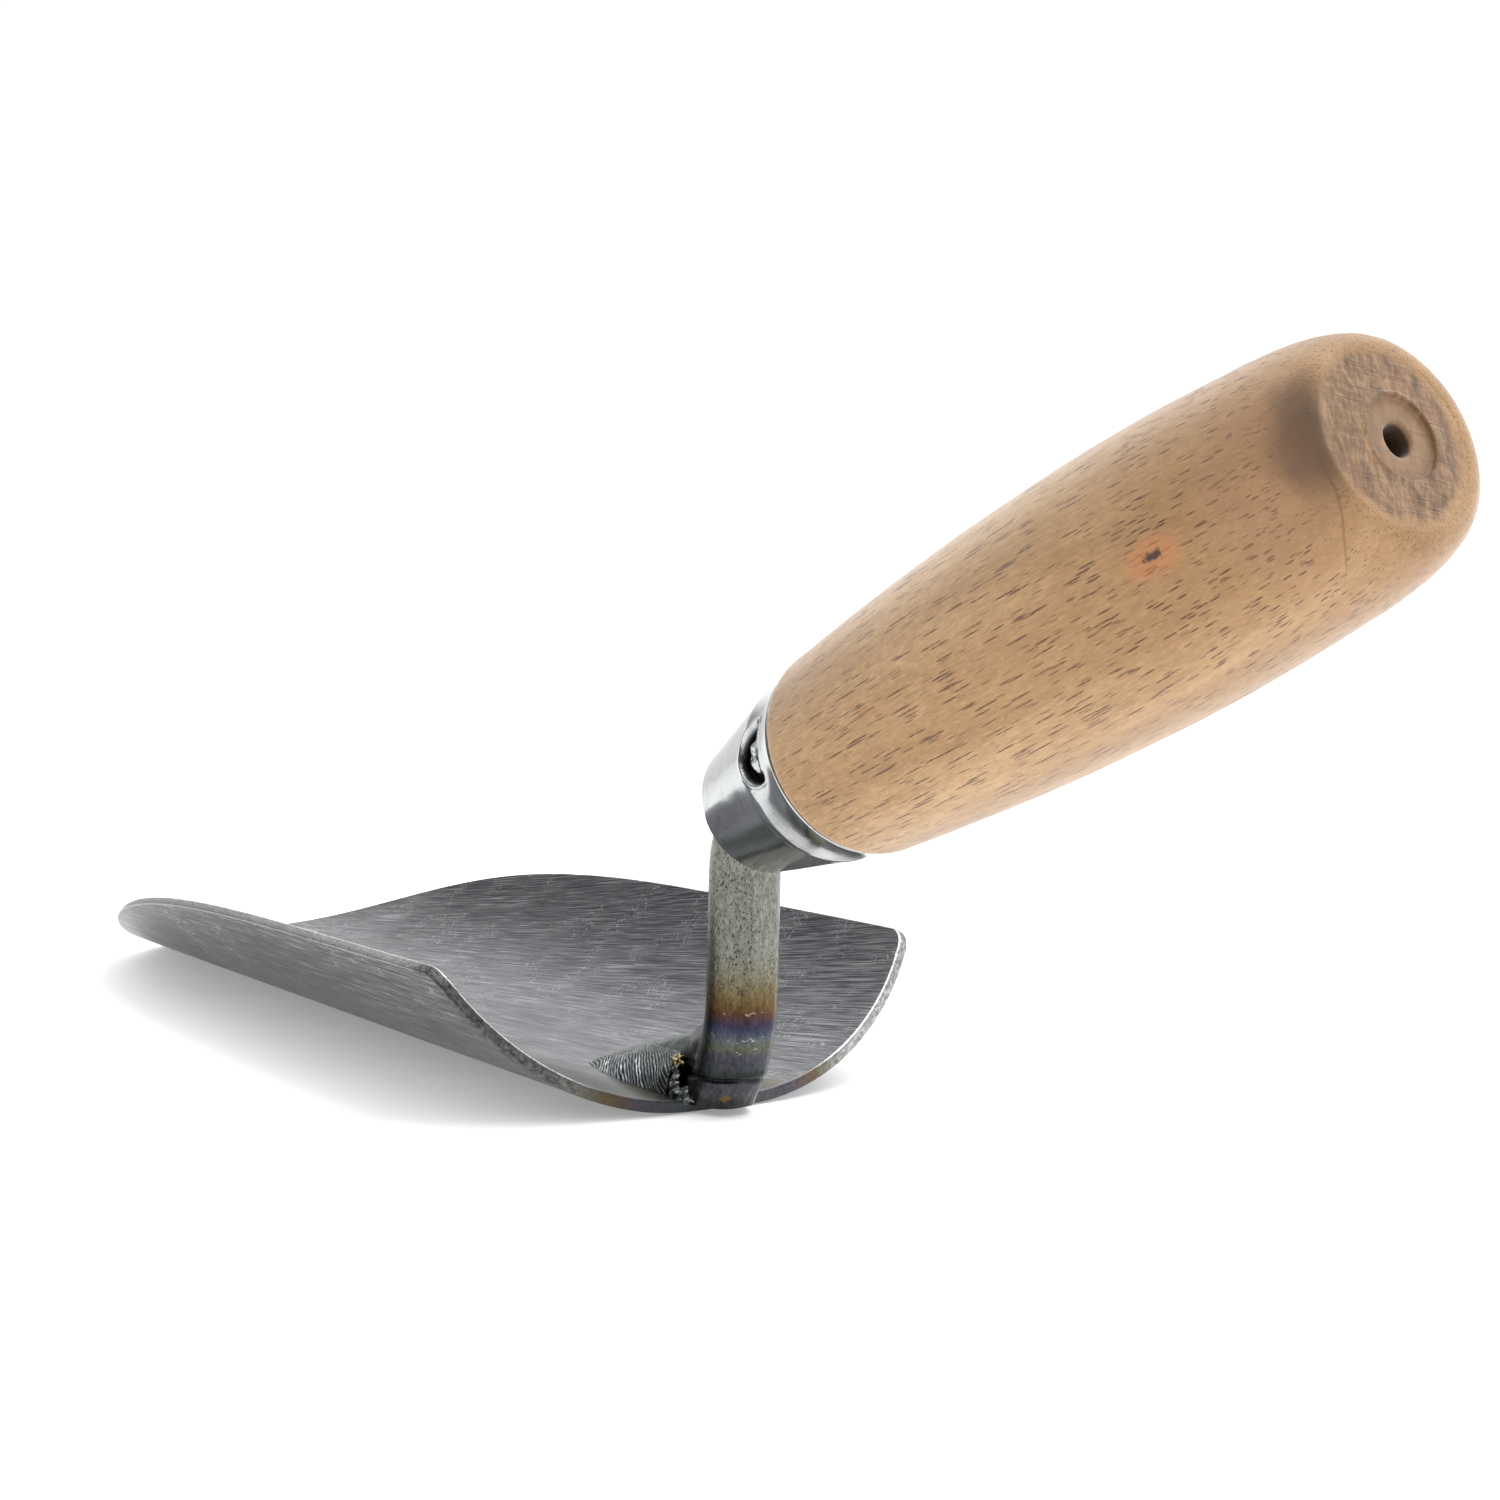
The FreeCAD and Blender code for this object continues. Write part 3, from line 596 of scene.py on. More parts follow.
# ---------- Node helpers
class Nodes:
    """Short names for building a node tree; the methods return output sockets."""

    def __init__(self, tree):
        self.tree = tree
        tree.nodes.clear()

    def new(self, kind, **values):
        """New node with these inputs, each a number, a colour or a socket."""
        n = self.tree.nodes.new("ShaderNode" + kind)
        for key, v in values.items():
            self.put(n.inputs[key], v)
        return n

    def put(self, sock, v):
        if isinstance(v, bpy.types.NodeSocket):
            self.tree.links.new(v, sock)
        else:
            sock.default_value = v

    def attr(self, name, out="Fac"):
        n = self.new("Attribute")
        n.attribute_name = name
        return n.outputs[out]

    def math(self, op, a, b=None):
        n = self.new("Math")
        n.operation = op
        self.put(n.inputs[0], a)
        if b is not None:
            self.put(n.inputs[1], b)
        return n.outputs[0]

    def add(self, a, b):
        return self.math("ADD", a, b)

    def sub(self, a, b):
        return self.math("SUBTRACT", a, b)

    def mul(self, a, b):
        return self.math("MULTIPLY", a, b)

    def max(self, a, b):
        return self.math("MAXIMUM", a, b)

    def abs(self, a):
        return self.math("ABSOLUTE", a)

    def rest(self, a):
        """What a leaves of 1."""
        return self.sub(1.0, a)

    def swing(self, a, by):
        """Noise a, which lies round 0.5, as a change of up to half of by either way."""
        return self.mul(self.sub(a, 0.5), by)

    def either(self, flag, off, on):
        """off where flag is 0, on where it is 1."""
        n = self.new("Mix")
        n.data_type = "FLOAT"
        self.put(n.inputs[0], flag)
        self.put(n.inputs[2], off)
        self.put(n.inputs[3], on)
        return n.outputs[0]

    def vec(self, op, a, b=None, scale=None):
        n = self.new("VectorMath")
        n.operation = op
        self.put(n.inputs[0], a)
        if b is not None:
            self.put(n.inputs[1], b)
        if scale is not None:
            self.put(n.inputs[3], scale)
        return n.outputs["Value" if op == "LENGTH" else 0]

    def split(self, v):
        return self.new("SeparateXYZ", Vector=v).outputs

    def join(self, x, y, z):
        return self.new("CombineXYZ", X=x, Y=y, Z=z).outputs[0]

    def place(self, v, scale=(1, 1, 1), rot=(0, 0, 0), loc=(0, 0, 0)):
        return self.new("Mapping", Vector=v, Location=loc, Rotation=rot, Scale=scale).outputs[0]

    def noise(self, v, detail=2.0, rough=0.5, warp=0.0, scale=1.0):
        n = self.new("TexNoise", Vector=v, Scale=scale, Detail=detail, Roughness=rough, Distortion=warp)
        return n.outputs[0]

    def cells(self, v, scale=1.0, out="Distance"):
        return self.new("TexVoronoi", Vector=v, Scale=scale).outputs[out]

    def span(self, v, a, b, lo=0.0, hi=1.0, kind="SMOOTHSTEP"):
        """lo where v is at a, hi where it is at b, and between them in between."""
        n = self.new("MapRange")
        n.interpolation_type = kind
        self.put(n.inputs[0], v)
        for i, x in enumerate((a, b, lo, hi)):
            n.inputs[1 + i].default_value = x
        return n.outputs[0]

    def mix(self, f, a, b, mode="MIX"):
        n = self.new("Mix")
        n.data_type = "RGBA"
        n.blend_type = mode
        self.put(n.inputs[0], f)
        self.put(n.inputs[6], a)
        self.put(n.inputs[7], b)
        return n.outputs[2]

    def ramp(self, f, stops):
        n = self.new("ValToRGB")
        el = n.color_ramp.elements
        while len(el) > 1:
            el.remove(el[0])
        el[0].position, el[0].color = stops[0]
        for p, c in stops[1:]:
            el.new(p).color = c
        self.put(n.inputs[0], f)
        return n.outputs[0]

    def bump(self, h, strength, distance, base=None):
        """Normal bent by height h; distance in mm; base is a normal to start from."""
        n = self.new("Bump", Strength=strength, Distance=distance * MM, Height=h)
        if base is not None:
            self.put(n.inputs["Normal"], base)
        return n.outputs[0]


class Mat(Nodes):
    """A new material with one Principled shader."""

    def __init__(self, name):
        self.m = bpy.data.materials.new(name)
        self.m.use_nodes = True
        super().__init__(self.m.node_tree)
        self.bsdf = self.new("BsdfPrincipled")
        self.new("OutputMaterial", Surface=self.bsdf.outputs[0])

    def shader(self, **kw):
        for k, v in kw.items():
            self.put(self.bsdf.inputs[k.replace("_", " ")], v)


def srgb(r, g, b, factor=1.0):
    """Linear RGBA from 0-255 display values, each times factor."""
    out = []
    for c in (r, g, b):
        c = c * factor / 255.0
        out.append(c / 12.92 if c <= 0.04045 else ((c + 0.055) / 1.055) ** 2.4)
    return (*out, 1.0)


def grey(v):
    return (v, v, v, 1.0)


# ---------- Materials
BRUSH_TURN = math.radians(-12.0)
WOOD_DARK, WOOD_MID, WOOD_PALE = (144, 107, 64), (167, 130, 85), (192, 156, 112)
ROD_LOW, ROD_HIGH, ROD_GAIN = -2.0, 22.0, 1.02


def blade_material():
    k = Mat("brushed_blade")
    loc = k.attr("loc", "Vector")
    x, u, off = k.split(loc)
    outside = k.span(off, 0.7, 1.1)
    sheet = k.vec("MULTIPLY", loc, (1.0, 1.0, 0.0))
    bent = k.place(sheet, rot=(0, 0, BRUSH_TURN))
    # the outside was brushed straight along the blade
    bent = k.vec("ADD", bent, k.vec("SCALE", k.vec("SUBTRACT", sheet, bent), scale=outside))
    slant = k.noise(k.place(bent, (0.06, 3.0, 1)), 4.0, 0.75)
    thin = k.noise(k.place(bent, (0.12, 6.0, 1), loc=(7, 3, 0)), 2.0, 0.7)
    broad = k.noise(k.place(bent, (0.02, 0.30, 1)))
    cloud = k.noise(k.place(sheet, (0.05, 0.05, 1), loc=(2, 9, 0)))
    lines = k.add(k.mul(slant, 0.5), k.mul(thin, 0.5))
    # sparse bright scratches: long ones with the brushing, short crooked ones anywhere
    cell = k.place(k.place(sheet, rot=(0, 0, BRUSH_TURN * 1.4)), (0.10, 1.5, 1))
    hit = k.span(k.cells(cell), 0.10, 0.03)
    worm = k.noise(k.place(sheet, (0.42, 0.42, 1)), 3.0, 0.6, 1.4)
    hair = k.span(k.abs(k.sub(worm, 0.5)), 0.011, 0.001)
    patch = k.noise(k.place(sheet, (0.11, 0.11, 1), loc=(3.1, 8.7, 0)))
    hair = k.mul(hair, k.span(patch, 0.53, 0.60))
    dot = k.span(k.cells(k.place(sheet, (0.55, 0.9, 1)), 1.0), 0.15, 0.07)
    dot = k.mul(dot, k.span(patch, 0.50, 0.60))
    marks = k.max(k.mul(hit, 0.45), k.max(hair, k.mul(dot, 0.8)))
    # darker towards the tip inside; outside it is paler towards the tip, a painted reflection
    tone = k.add(k.mul(lines, 0.92), k.mul(broad, 0.06))
    tone = k.add(tone, k.swing(cloud, 0.06))
    tone = k.add(tone, k.span(x, -70.0, -12.0, 0.026, 0.056))
    base = k.ramp(tone, [(0.44, (0.062, 0.064, 0.072, 1)), (0.54, (0.185, 0.188, 0.201, 1)),
                         (0.62, (0.44, 0.442, 0.455, 1))])
    # painted reflection: the outside's tone is raised towards the tip
    tip_reflection_tone = k.add(tone, k.span(x, -112.0, -168.0, 0.0, 0.10))
    back = k.ramp(tip_reflection_tone, [(0.44, (0.036, 0.039, 0.036, 1)), (0.53, (0.085, 0.089, 0.085, 1)),
                             (0.65, (0.36, 0.365, 0.36, 1))])
    base = k.mix(outside, base, back)
    base = k.mix(k.mul(marks, 0.75), base, (0.74, 0.75, 0.76, 1))
    # sheared edge: plain grey with a painted highlight along its inner arris, and dark specks
    rim = k.attr("rim")
    speck = k.noise(k.place(loc, (1.3, 1.3, 2.2)), 4.0, 0.7)
    edge = k.ramp(speck, [(0.34, (0.09, 0.095, 0.09, 1)), (0.52, (0.25, 0.256, 0.25, 1)),
                          (0.72, (0.52, 0.53, 0.52, 1))])
    # the heel's cut edge is scaled darker towards the near side and brighter towards the far side; the far
    # side's brightening is painted light from behind
    edge = k.vec("SCALE", edge, scale=k.span(u, -14.0, 22.0, 0.55, 1.5))
    flank = k.span(x, -13.0, -17.0, 0.0, 0.8)
    pale = k.ramp(speck, [(0.38, (0.30, 0.31, 0.30, 1)), (0.55, (0.50, 0.51, 0.50, 1))])
    edge = k.mix(flank, edge, pale)
    base = k.mix(k.mul(rim, 0.9), base, edge)
    # painted highlight: a bright line along the inner arris of the cut edge
    arris_highlight = k.mul(k.span(off, 0.26, 0.12), k.span(speck, 0.35, 0.50, 0.4, 1.0))
    nicked = k.mul(k.span(off, SHEET_T - 0.30, SHEET_T - 0.15), k.span(speck, 0.50, 0.60, 0.0, 0.5))
    base = k.mix(k.mul(arris_highlight, rim), base, (0.86, 0.87, 0.87, 1))
    base = k.mix(k.mul(nicked, rim), base, (0.10, 0.105, 0.10, 1))
    # heat tint round the welds, along the heel edge and on the sheet beside the elbow
    au = k.abs(u)
    wav = k.mul(k.noise(k.place(sheet, (0.5, 0.5, 1))), 3.0)
    d = k.vec("LENGTH", k.join(k.mul(x, 0.62), k.sub(au, 1.0), 0.0))
    d = k.add(d, k.sub(wav, 1.5))
    tint = k.ramp(k.math("DIVIDE", d, 30.0), [
        (0.00, srgb(64, 66, 68)), (0.20, srgb(70, 73, 76)), (0.33, srgb(66, 66, 74)),
        (0.42, srgb(74, 68, 80)), (0.50, srgb(90, 72, 52)), (0.60, srgb(96, 86, 68)),
        (0.72, srgb(112, 110, 102)), (0.85, srgb(128, 130, 127))])
    edge_amount = k.mul(k.span(d, 26.0, 16.0, 0.0, 0.9), rim)
    face_amount = k.span(d, 13.5, 8.0, 0.0, 0.85)
    face_tint = k.ramp(k.math("DIVIDE", d, 14.0), [
        (0.0, srgb(70, 74, 72)), (0.5, srgb(92, 96, 90)), (0.74, srgb(124, 110, 84)),
        (1.0, srgb(150, 152, 150))])
    base = k.mix(k.mul(face_amount, k.rest(rim)), base, face_tint)
    base = k.mix(edge_amount, base, tint)
    # weld smoke: a grey-green bloom on the sheet round the near side of the foot
    smoke = k.vec("LENGTH", k.join(k.mul(k.add(x, 21.0), 0.045),
                                   k.mul(k.add(u, 15.5), 0.10), 0.0))
    smoke = k.add(smoke, k.swing(cloud, 0.5))
    bloom = k.span(smoke, 1.15, 0.4, 0.0, 0.72)
    bloom = k.mul(bloom, k.rest(outside))
    base = k.mix(k.mul(bloom, k.rest(rim)), base, srgb(70, 76, 70))
    rough = k.add(k.mul(lines, 0.20), 0.24)
    rough = k.add(rough, k.mul(rim, 0.08))
    height = k.add(lines, k.mul(marks, -0.4))
    height = k.add(height, k.mul(k.mul(speck, rim), 1.2))
    nrm = k.bump(height, 0.6, 0.055)
    nrm = k.bump(cloud, 0.15, 0.8, nrm)
    tan = k.new("Tangent")
    tan.direction_type = "UV_MAP"
    tan.uv_map = "UVMap"
    k.shader(Base_Color=base, Metallic=1.0, Roughness=rough, Normal=nrm, Anisotropic=0.45,
             Tangent=tan.outputs[0])
    return k.m


def rod_material():
    k = Mat("heat_tinted_rod")
    loc = k.attr("loc", "Vector")
    x, y, z = k.split(loc)
    wav = k.noise(k.place(loc, (0.35, 0.35, 0.35)))
    h = k.add(z, k.swing(wav, 1.4))
    # heat colours up the rod: (height in mm, display colour)
    tints = [(ROD_LOW, (50, 50, 49)), (0.3, (58, 58, 60)), (1.6, (78, 78, 83)), (2.9, (72, 72, 78)),
             (3.4, (38, 44, 42)), (4.2, (48, 54, 52)), (5.2, (64, 67, 72)), (6.4, (73, 70, 81)),
             (7.3, (75, 75, 79)), (8.0, (85, 87, 77)), (8.8, (90, 95, 87)), (9.7, (82, 88, 95)),
             (10.7, (64, 67, 85)), (11.6, (58, 54, 72)), (12.5, (74, 54, 55)), (13.3, (88, 64, 46)),
             (14.6, (102, 84, 54)), (16.2, (112, 100, 74)), (18.5, (120, 117, 102)),
             (ROD_HIGH, (127, 129, 122))]
    stops = [((s - ROD_LOW) / (ROD_HIGH - ROD_LOW), srgb(*c, ROD_GAIN)) for s, c in tints]
    col = k.ramp(k.span(h, ROD_LOW, ROD_HIGH, kind="LINEAR"), stops)
    on_foot = k.span(x, -1.5, -5.0)
    col = k.mix(k.mul(on_foot, 0.85), col, srgb(112, 120, 114))
    grain = k.noise(k.place(loc, (1.9, 1.9, 0.7)), 5.0, 0.75)
    scale = k.ramp(grain, [(0.32, grey(0.10)), (0.68, (0.66, 0.66, 0.64, 1))])
    col = k.mix(0.7, col, scale, "OVERLAY")
    # fine pits in the scale, drawn out along the rod
    high = k.span(z, 11.0, 19.0, 0.12, 1.0)

    def pits(scale, shift, keep):
        """Small round pits in those cells whose random number is above keep."""
        v = k.place(loc, scale, loc=shift)
        near = k.cells(v)
        pick = k.split(k.cells(v, out="Color"))[0]
        return k.mul(k.span(near, 0.30, 0.16), k.span(pick, keep, keep + 0.05))

    pit = k.max(pits((2.6, 2.6, 1.3), (0, 0, 0), 0.45), pits((4.0, 4.0, 2.4), (4, 9, 2), 0.30))
    pit = k.mul(pit, high)
    col = k.mix(k.mul(pit, 0.9), col, (0.022, 0.023, 0.02, 1))
    # thin wavy bright lines where the tint has chipped, a little above and below the blue band
    worm = k.noise(k.place(loc, (0.55, 0.55, 0.55), loc=(1, 7, 3)))

    def chip(level, swing):
        """Thin line round the rod at about this height."""
        line = k.sub(z, k.add(k.swing(worm, swing), level))
        return k.span(k.abs(line), 0.10, 0.02)

    broken = k.span(k.noise(k.place(loc, (0.8, 0.8, 0.8), loc=(9, 1, 6)), 3.0, 0.7), 0.50, 0.56)
    chips = k.max(chip(8.05, 3.2), k.mul(chip(9.9, 4.0), 0.8))
    chips = k.max(chips, k.mul(chip(13.4, 2.0), 0.6))
    chips = k.mul(k.mul(chips, broken), k.span(x, 4.0, 6.5))
    col = k.mix(k.mul(chips, 0.5), col, (0.70, 0.72, 0.68, 1))
    # darker, nearly black, in the corner between foot, elbow and bead
    corner = k.vec("SUBTRACT", loc, (-2.9, -4.2, 3.4))
    corner = k.vec("LENGTH", k.vec("MULTIPLY", corner, (0.42, 0.42, 0.28)))
    corner = k.add(corner, k.swing(grain, 0.5))
    corner_darkening = k.span(corner, 1.15, 0.5, 0.0, 0.9)
    col = k.mix(corner_darkening, col, (0.012, 0.014, 0.012, 1))
    # straw coloured diamond on the back of the elbow
    dia = k.add(k.abs(k.add(y, 2.6)), k.abs(k.sub(z, 0.9)))
    dia = k.add(dia, k.swing(grain, 0.5))
    dia = k.mul(k.span(dia, 0.80, 0.55), k.span(x, 2.0, 3.0))
    col = k.mix(k.mul(dia, 0.8), col, srgb(112, 86, 46))
    height = k.sub(k.mul(grain, 0.55), pit)
    k.shader(Base_Color=col, Metallic=1.0,
             Roughness=k.add(k.mul(grain, 0.20), 0.20),
             Normal=k.bump(height, 0.6, 0.10))
    return k.m


def weld_material(name, level, straw):
    """Weld metal, darker by the factor level; straw is how strong the tint is on the highest part."""
    k = Mat(name)
    loc = k.attr("loc", "Vector")
    fine = k.noise(loc, 4.0, 0.65, scale=1.3)
    patch = k.noise(k.place(loc, loc=(5, 5, 5)), scale=0.35)
    # the crest weight paints light on the beads' ripple crests and shade in their valleys; on the tacks it
    # is random tone
    tone = k.add(k.mul(k.attr("crest_shade_and_tone"), 0.55), k.mul(fine, 0.45))
    col = k.ramp(tone, [(0.22, srgb(42, 46, 46, level)), (0.46, srgb(106, 110, 112, level)),
                        (0.72, srgb(196, 200, 200, level))])
    col = k.mix(k.span(patch, 0.54, 0.70, 0.0, 0.45), col, srgb(84, 78, 100))
    col = k.mix(k.span(patch, 0.46, 0.32, 0.0, 0.35), col, srgb(96, 84, 58))
    if straw > 0.0:
        height = k.split(loc)[2]
        col = k.mix(k.span(height, 3.6, 4.8, 0.0, straw), col, srgb(170, 150, 104))
    k.shader(Base_Color=col, Metallic=1.0, Roughness=k.add(k.mul(fine, 0.25), 0.20),
             Normal=k.bump(fine, 0.4, 0.05))
    return k.m


def ferrule_material():
    k = Mat("polished_ferrule")
    loc = k.attr("loc", "Vector")
    s, a, b = k.split(loc)
    ring = k.join(k.mul(s, 5.0), k.mul(a, 0.15), k.mul(b, 0.15))
    lines = k.noise(ring, 3.0, 0.6)
    soft = k.noise(k.place(loc, (0.25, 0.25, 0.25)))
    col = k.ramp(lines, [(0.3, (0.43, 0.443, 0.447, 1)), (0.7, (0.54, 0.55, 0.555, 1))])
    stain = k.noise(k.place(loc, (0.5, 0.5, 0.5), loc=(3, 1, 5)), 4.0, 0.7)
    col = k.mix(k.span(stain, 0.50, 0.66, 0.0, 0.34), col, (0.30, 0.31, 0.32, 1))
    specks = k.span(k.cells(loc, 0.95), 0.19, 0.10)
    specks = k.mul(specks, k.span(k.noise(k.place(loc, loc=(8, 2, 1)), 1.0, scale=0.4), 0.48, 0.6))
    col = k.mix(k.mul(specks, 0.6), col, (0.10, 0.10, 0.10, 1))
    # painted shade: the cut of the crescent slot is coloured near-black
    slot = k.attr("slot")
    col = k.mix(k.span(slot, 0.25, 0.7), col, (0.012, 0.012, 0.014, 1))
    rough = k.add(k.mul(soft, 0.10), 0.09)
    rough = k.add(rough, k.mul(slot, 0.4))
    grit = k.noise(loc, 3.0, scale=2.4)
    height = k.add(k.mul(lines, 0.3), k.add(soft, k.mul(grit, 0.30)))
    k.shader(Base_Color=col, Metallic=1.0, Roughness=rough, Normal=k.bump(height, 0.2, 0.08))
    return k.m


def wood_material():
    k = Mat("raw_beech")
    loc = k.attr("loc", "Vector")
    s, a, b = k.split(loc)
    # grain runs along the handle with a slight drift
    skew = k.join(s, k.add(a, k.mul(s, 0.02)), k.add(b, k.mul(s, -0.035)))
    broad = k.noise(k.place(skew, (0.012, 0.10, 0.14)), 3.0, 0.55, 0.4)
    fibre = k.noise(k.place(skew, (0.16, 2.6, 2.6)), 3.0, 0.6)
    fine = k.noise(k.place(skew, (0.7, 3.6, 3.6)), 3.0, 0.7)
    mottle = k.noise(k.place(loc, (0.5, 0.9, 0.9)), 3.0, 0.6)
    tone = k.add(k.mul(broad, 0.55), k.mul(fibre, 0.22))
    tone = k.add(tone, k.mul(mottle, 0.23))
    base = k.ramp(tone, [(0.36, srgb(*WOOD_DARK)), (0.50, srgb(*WOOD_MID)), (0.64, srgb(*WOOD_PALE))])
    base = k.mix(k.span(fine, 0.48, 0.68, 0.0, 0.40), base, srgb(140, 102, 66))
    base = k.mix(k.span(fine, 0.46, 0.30, 0.0, 0.35), base, srgb(204, 170, 128))
    # the grip has darkened towards the butt
    base = k.mix(k.span(s, 20.0, 90.0, 0.0, 0.30), base, srgb(142, 104, 68))

    # ray flecks: short dark dashes along the grain, in two sizes
    def dashes(scale, shift, thick, keep):
        """Dashes of this half width in those cells whose random number is above keep."""
        v = k.place(skew, scale, loc=shift)
        dist = k.cells(v)
        r = k.split(k.cells(v, out="Color"))[0]
        return k.mul(k.span(dist, thick, thick * 0.72), k.span(r, keep, keep + 0.04))

    d1 = dashes((0.12, 2.1, 2.1), (0, 0, 0), 0.29, 0.50)
    d2 = dashes((0.22, 2.6, 2.6), (5, 3, 8), 0.31, 0.50)
    d3 = dashes((0.09, 2.0, 2.0), (9, 6, 1), 0.28, 0.60)
    butt = k.attr("butt")
    side = k.rest(butt)
    dash = k.max(d1, k.max(k.mul(d2, 0.7), d3))
    ragged = k.span(k.noise(k.place(skew, (0.9, 3.0, 3.0), loc=(4, 4, 4))), 0.36, 0.56)
    dash = k.mul(k.mul(dash, side), k.add(k.mul(ragged, 0.5), 0.5))
    dash = k.mul(dash, k.span(s, 92.0, 96.0, 1.0, 0.45))
    base = k.mix(k.mul(dash, 0.92), base, srgb(88, 50, 22))

    def spot(c, scale):
        """Scaled distance from the point c."""
        return k.vec("LENGTH", k.vec("MULTIPLY", k.vec("SUBTRACT", loc, c), scale))

    def at(sv, deg, r):
        """Point at distance sv from the rim, at this angle and radius."""
        p = math.radians(deg)
        return (sv, r * math.cos(p), r * math.sin(p))

    # knot with its orange halo and a pair of pin knots beside it
    d = spot(at(74.9, 104.0, 15.9), (0.52, 1.0, 1.0))
    ripple = k.swing(k.noise(loc, 3.0, scale=0.9), 1.5)
    d = k.add(d, ripple)
    base = k.mix(k.span(d, 3.1, 0.9, 0.0, 0.6), base, srgb(184, 116, 68))
    base = k.mix(k.span(d, 0.72, 0.35, 0.0, 0.95), base, srgb(48, 28, 18))
    for sv, deg, wide in ((70.6, 112.5, 2.2), (72.2, 109.0, 2.6), (22.7, 98.0, 0.55)):
        pin = k.add(spot(at(sv, deg, 16.1), (wide, wide * 1.7, wide * 1.7)), k.mul(ripple, 0.5))
        base = k.mix(k.span(pin, 1.0, 0.5, 0.0, 0.55), base, srgb(168, 108, 60))
    # rubbed grey-brown bruise beside the butt
    smear = spot(at(96.9, 86.0, 12.2), (0.165, 0.125, 0.24))
    cloud = k.noise(k.place(loc, (0.20, 0.16, 0.16)), 3.0, 0.6)
    smear = k.add(smear, k.swing(cloud, 0.9))
    bruise = k.mul(k.span(smear, 1.25, 0.35, 0.0, 0.95), k.add(k.mul(side, 0.85), 0.15))
    base = k.mix(bruise, base, srgb(54, 43, 28))
    halo = k.mul(k.span(spot(at(91.0, 100.0, 13.4), (0.11, 0.085, 0.085)), 1.35, 0.4, 0.0, 0.4), side)
    base = k.mix(halo, base, srgb(150, 112, 84))
    # hairline check curling round from the edge of the butt
    turn = k.math("ARCTAN2", b, a)
    past = k.max(k.sub(turn, math.radians(113.0)), 0.0)
    line = k.sub(96.7, k.mul(k.mul(past, past), 11.0))
    miss = k.abs(k.sub(k.add(s, k.mul(cloud, 0.8)), k.add(line, 0.4)))
    check = k.mul(k.span(miss, 0.22, 0.06), k.span(turn, math.radians(95.0), math.radians(108.0)))
    check = k.mul(check, k.span(turn, math.radians(162.0), math.radians(145.0)))
    check = k.mul(check, side)
    base = k.mix(k.mul(check, 0.4), base, srgb(92, 66, 42))
    # butt: sawn end grain, with saw marks at two angles
    marks_a = k.place(loc, rot=(0.35, 0, 0))
    marks_b = k.place(loc, rot=(1.75, 0, 0))
    ring = k.noise(k.place(loc, (0.0, 0.32, 0.9), (0.5, 0, 0)), 3.0, 0.6, 0.6)
    saw1 = k.noise(k.place(marks_a, (0.0, 0.25, 2.6)), 3.0, 0.7)
    saw2 = k.noise(k.place(marks_b, (0.0, 0.22, 1.6), loc=(0, 3, 3)), 3.0, 0.7)
    slit = k.noise(k.place(marks_b, (0.0, 0.12, 2.2), loc=(0, 8, 1)))
    slit = k.span(slit, 0.60, 0.68)
    pores = k.span(k.cells(loc, 1.9), 0.24, 0.08)
    pattern = k.add(k.mul(ring, 0.55), k.mul(saw1, 0.22))
    pattern = k.add(pattern, k.mul(saw2, 0.23))
    endc = k.ramp(pattern, [(0.40, srgb(92, 64, 38)), (0.5, srgb(121, 90, 58)), (0.60, srgb(152, 119, 84))])
    endc = k.mix(k.mul(pores, 0.3), endc, srgb(92, 66, 44))
    endc = k.mix(k.mul(slit, 0.3), endc, srgb(84, 58, 40))
    blush = k.noise(k.place(loc, (0.2, 0.25, 0.25), loc=(6, 2, 4)), 3.0, 0.6)
    endc = k.mix(k.span(blush, 0.52, 0.68, 0.0, 0.4), endc, srgb(132, 86, 62))
    cup = k.attr("cup")
    endc = k.mix(k.mul(cup, 0.6), endc, srgb(142, 111, 82))
    # painted shade: a darker ring where the wall of the shallow recess stands
    radius = k.vec("LENGTH", k.join(a, b, 0.0))
    recess_wall_shade = k.span(k.abs(k.sub(radius, RECESS_R)), 0.16, 0.05, 0.0, 0.25)
    endc = k.mix(recess_wall_shade, endc, srgb(96, 68, 46))
    base = k.mix(k.mul(butt, k.span(smear, 0.3, 1.1, 0.75, 1.0)), base, endc)
    # painted shade: the blind hole is coloured dark brown
    base = k.mix(k.attr("hole"), base, srgb(70, 48, 32))
    rough = k.add(k.mul(fibre, 0.15), 0.55)
    height = k.add(k.mul(fibre, 0.5), k.mul(fine, 0.35))
    height = k.sub(height, k.mul(dash, 0.9))
    height = k.sub(height, k.mul(check, 0.5))
    ridges = k.add(k.mul(saw1, 0.8), k.mul(saw2, 0.7))
    butt_h = k.sub(ridges, k.add(k.mul(pores, 0.6), slit))
    butt_h = k.mul(butt_h, k.mul(butt, k.rest(k.mul(cup, 0.6))))
    height = k.add(k.mul(height, side), butt_h)
    k.shader(Base_Color=base, Roughness=rough, Normal=k.bump(height, 0.6, 0.12), Specular_IOR_Level=0.35,
             Sheen_Weight=0.50, Sheen_Roughness=0.45, Sheen_Tint=(1.0, 0.97, 0.94, 1.0))
    return k.m


def floor_material():
    k = Mat("paper_floor")
    n = k.noise(k.new("TexCoord").outputs["Object"], 3.0, scale=60.0)
    paper = k.ramp(n, [(0.3, grey(0.90)), (0.7, grey(0.925))])
    # the slight glow stands in for light that a real white room would throw back
    k.shader(Base_Color=paper, Roughness=0.85, Specular_IOR_Level=0.2, Emission_Color=grey(1.0),
             Emission_Strength=0.26)
    return k.m


# ---------- Build
steel = blade_material()
rod = rod_material()
rippled = weld_material("rippled_weld", 1.0, 0.0)
spattered = weld_material("spattered_weld", 0.9, 0.7)

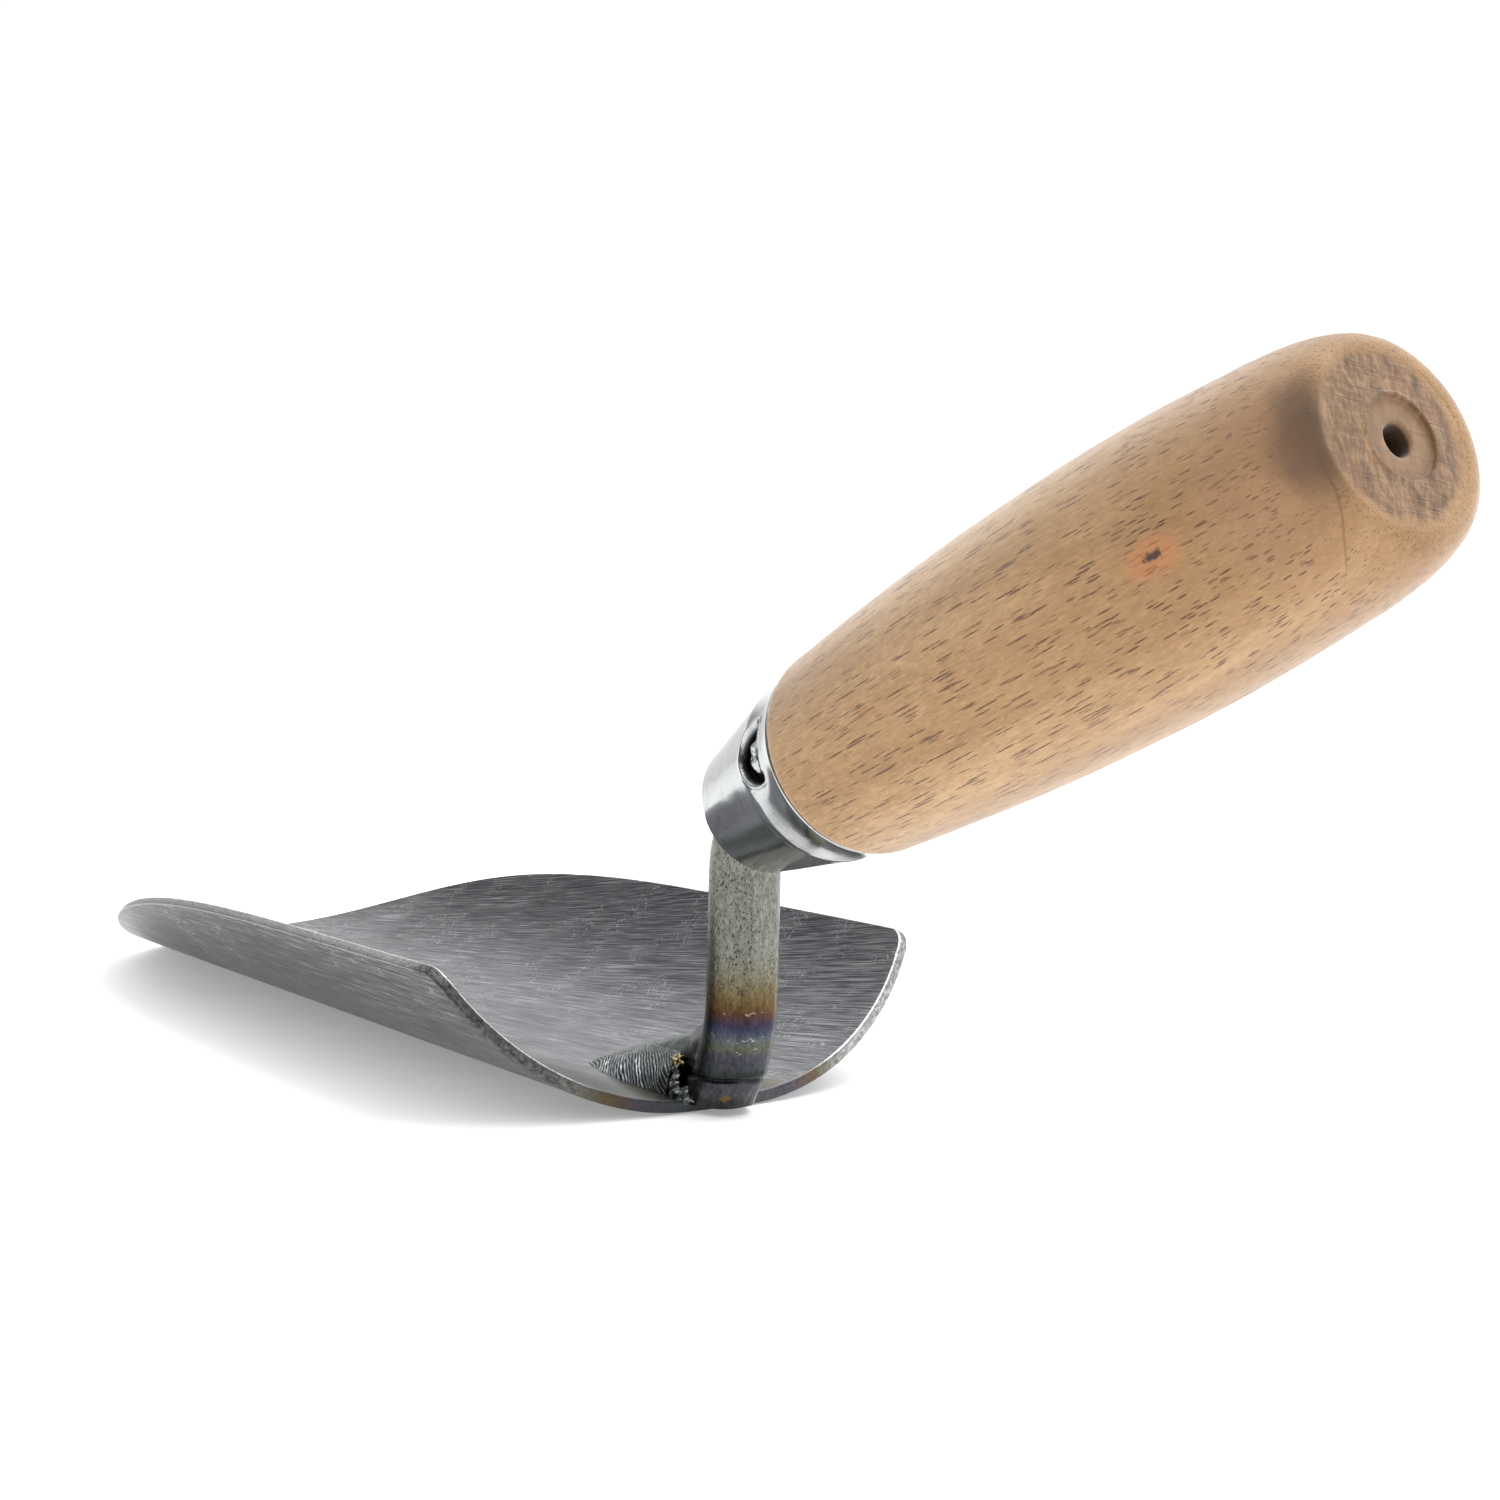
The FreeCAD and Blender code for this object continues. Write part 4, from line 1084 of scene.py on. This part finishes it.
for ob, material, node, slot in (
        (make_blade(), steel, "blade", "blade_steel"),
        (make_shank(), rod, "shank", "shank_steel"),
        (make_bead(-1, 41), rippled, "foot_weld_left", "weld_steel"),
        (make_bead(1, 51), rippled, "foot_weld_right", "weld_steel"),
        (make_tack(-1, 61), spattered, "heel_weld_left", "weld_steel"),
        (make_tack(1, 71), spattered, "heel_weld_right", "weld_steel"),
        (make_ferrule(), ferrule_material(), "ferrule", "ferrule_steel"),
        (make_handle(), wood_material(), "handle", "handle_wood")):
    ob.data.materials.append(material)
    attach(ob, "root")
    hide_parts(node)

# ---------- Floor, light, camera
bpy.ops.mesh.primitive_plane_add(size=FLOOR_SIZE, location=(0.0, 0.0, cad_low.z - FLOOR_GAP))
floor = bpy.context.object
floor.name = "floor"
floor.data.materials.append(floor_material())

lamp = bpy.data.lights.new("softbox_top", "AREA")
lamp.shape = "RECTANGLE"
lamp.size = 0.9
lamp.size_y = 0.7
lamp.energy = 7.0
softbox = bpy.data.objects.new("softbox_top", lamp)
bpy.context.scene.collection.objects.link(softbox)
softbox.location = (0.20, 0.40, 0.95)
aim = Vector((0.0, 0.0, 0.03)) - softbox.location
softbox.rotation_euler = aim.to_track_quat("-Z", "Y").to_euler()

world = bpy.data.worlds.new("studio")
bpy.context.scene.world = world
world.use_nodes = True
sky = Nodes(world.node_tree)


def towards(x, y, z=0.0):
    """How far each direction of view points along (x, y, z)."""
    flat = sky.add(sky.mul(east, x), sky.mul(north, y))
    return sky.add(flat, sky.mul(up, z)) if z else flat


east, north, up = sky.split(sky.new("TexCoord").outputs["Generated"])
# what polished steel sees: a bright sweep behind the trowel, a softbox overhead and light from
# the far side, a low glow on the horizon behind, and a dim room in front
sweep_light = sky.span(towards(-0.866, 0.5, 0.35), 0.92, 1.08, 0.0, 1.1)
top_light = sky.span(up, 0.62, 0.9, 0.0, 0.9)
beside = towards(0.5, 0.866)
side_light = sky.span(beside, 0.55, 0.9, 0.0, 0.8)
away = towards(-0.82, 0.57)
low_light = sky.mul(sky.span(up, 0.30, 0.05, 0.0, 0.6), sky.span(away, 0.1, 0.6))
shine = sky.max(sky.max(sweep_light, low_light), sky.max(top_light, side_light))
shine = sky.add(shine, sky.span(away, -0.35, 0.25, 0.15, 0.46))
# what the matt wood and the floor see: soft light from everywhere, stronger from behind
fill = sky.span(sky.max(sky.max(away, beside), up), -0.2, 0.95, 0.14, 1.28)
# what the camera sees is plain white
ray = sky.new("LightPath").outputs
level = sky.either(ray["Is Camera Ray"], sky.either(ray["Is Diffuse Ray"], shine, fill), 1.05)
background = sky.new("Background", Color=grey(1.0), Strength=level)
sky.new("OutputWorld", Surface=background.outputs[0])

bpy.context.scene.view_settings.view_transform = "Standard"
bpy.context.scene.view_settings.look = "None"

# camera: fitted once to the viewing angle, given in the working frame
YAW, PITCH, ROLL = 0.9605, 0.0811, -0.0239
STAND = (299.8, -205.8, 78.5)
cam_data = bpy.data.cameras.new("camera")
cam_data.sensor_width = 36.0
cam_data.lens = 62.9
cam_data.clip_start = 0.01
cam_data.clip_end = 20.0
cam = bpy.data.objects.new("camera", cam_data)
bpy.context.scene.collection.objects.link(cam)
fwd = Vector((-math.sin(YAW) * math.cos(PITCH), math.cos(YAW) * math.cos(PITCH), -math.sin(PITCH)))
right = Vector((math.cos(YAW), math.sin(YAW), 0.0))
down = fwd.cross(right)
right_r = math.cos(ROLL) * right + math.sin(ROLL) * down
down_r = -math.sin(ROLL) * right + math.cos(ROLL) * down
basis = [[right_r[i], -down_r[i], -fwd[i]] for i in range(3)]
pose = Matrix(basis).to_4x4()
pose.translation = Vector(row(STAND))
cam.matrix_world = pose
bpy.context.scene.camera = cam
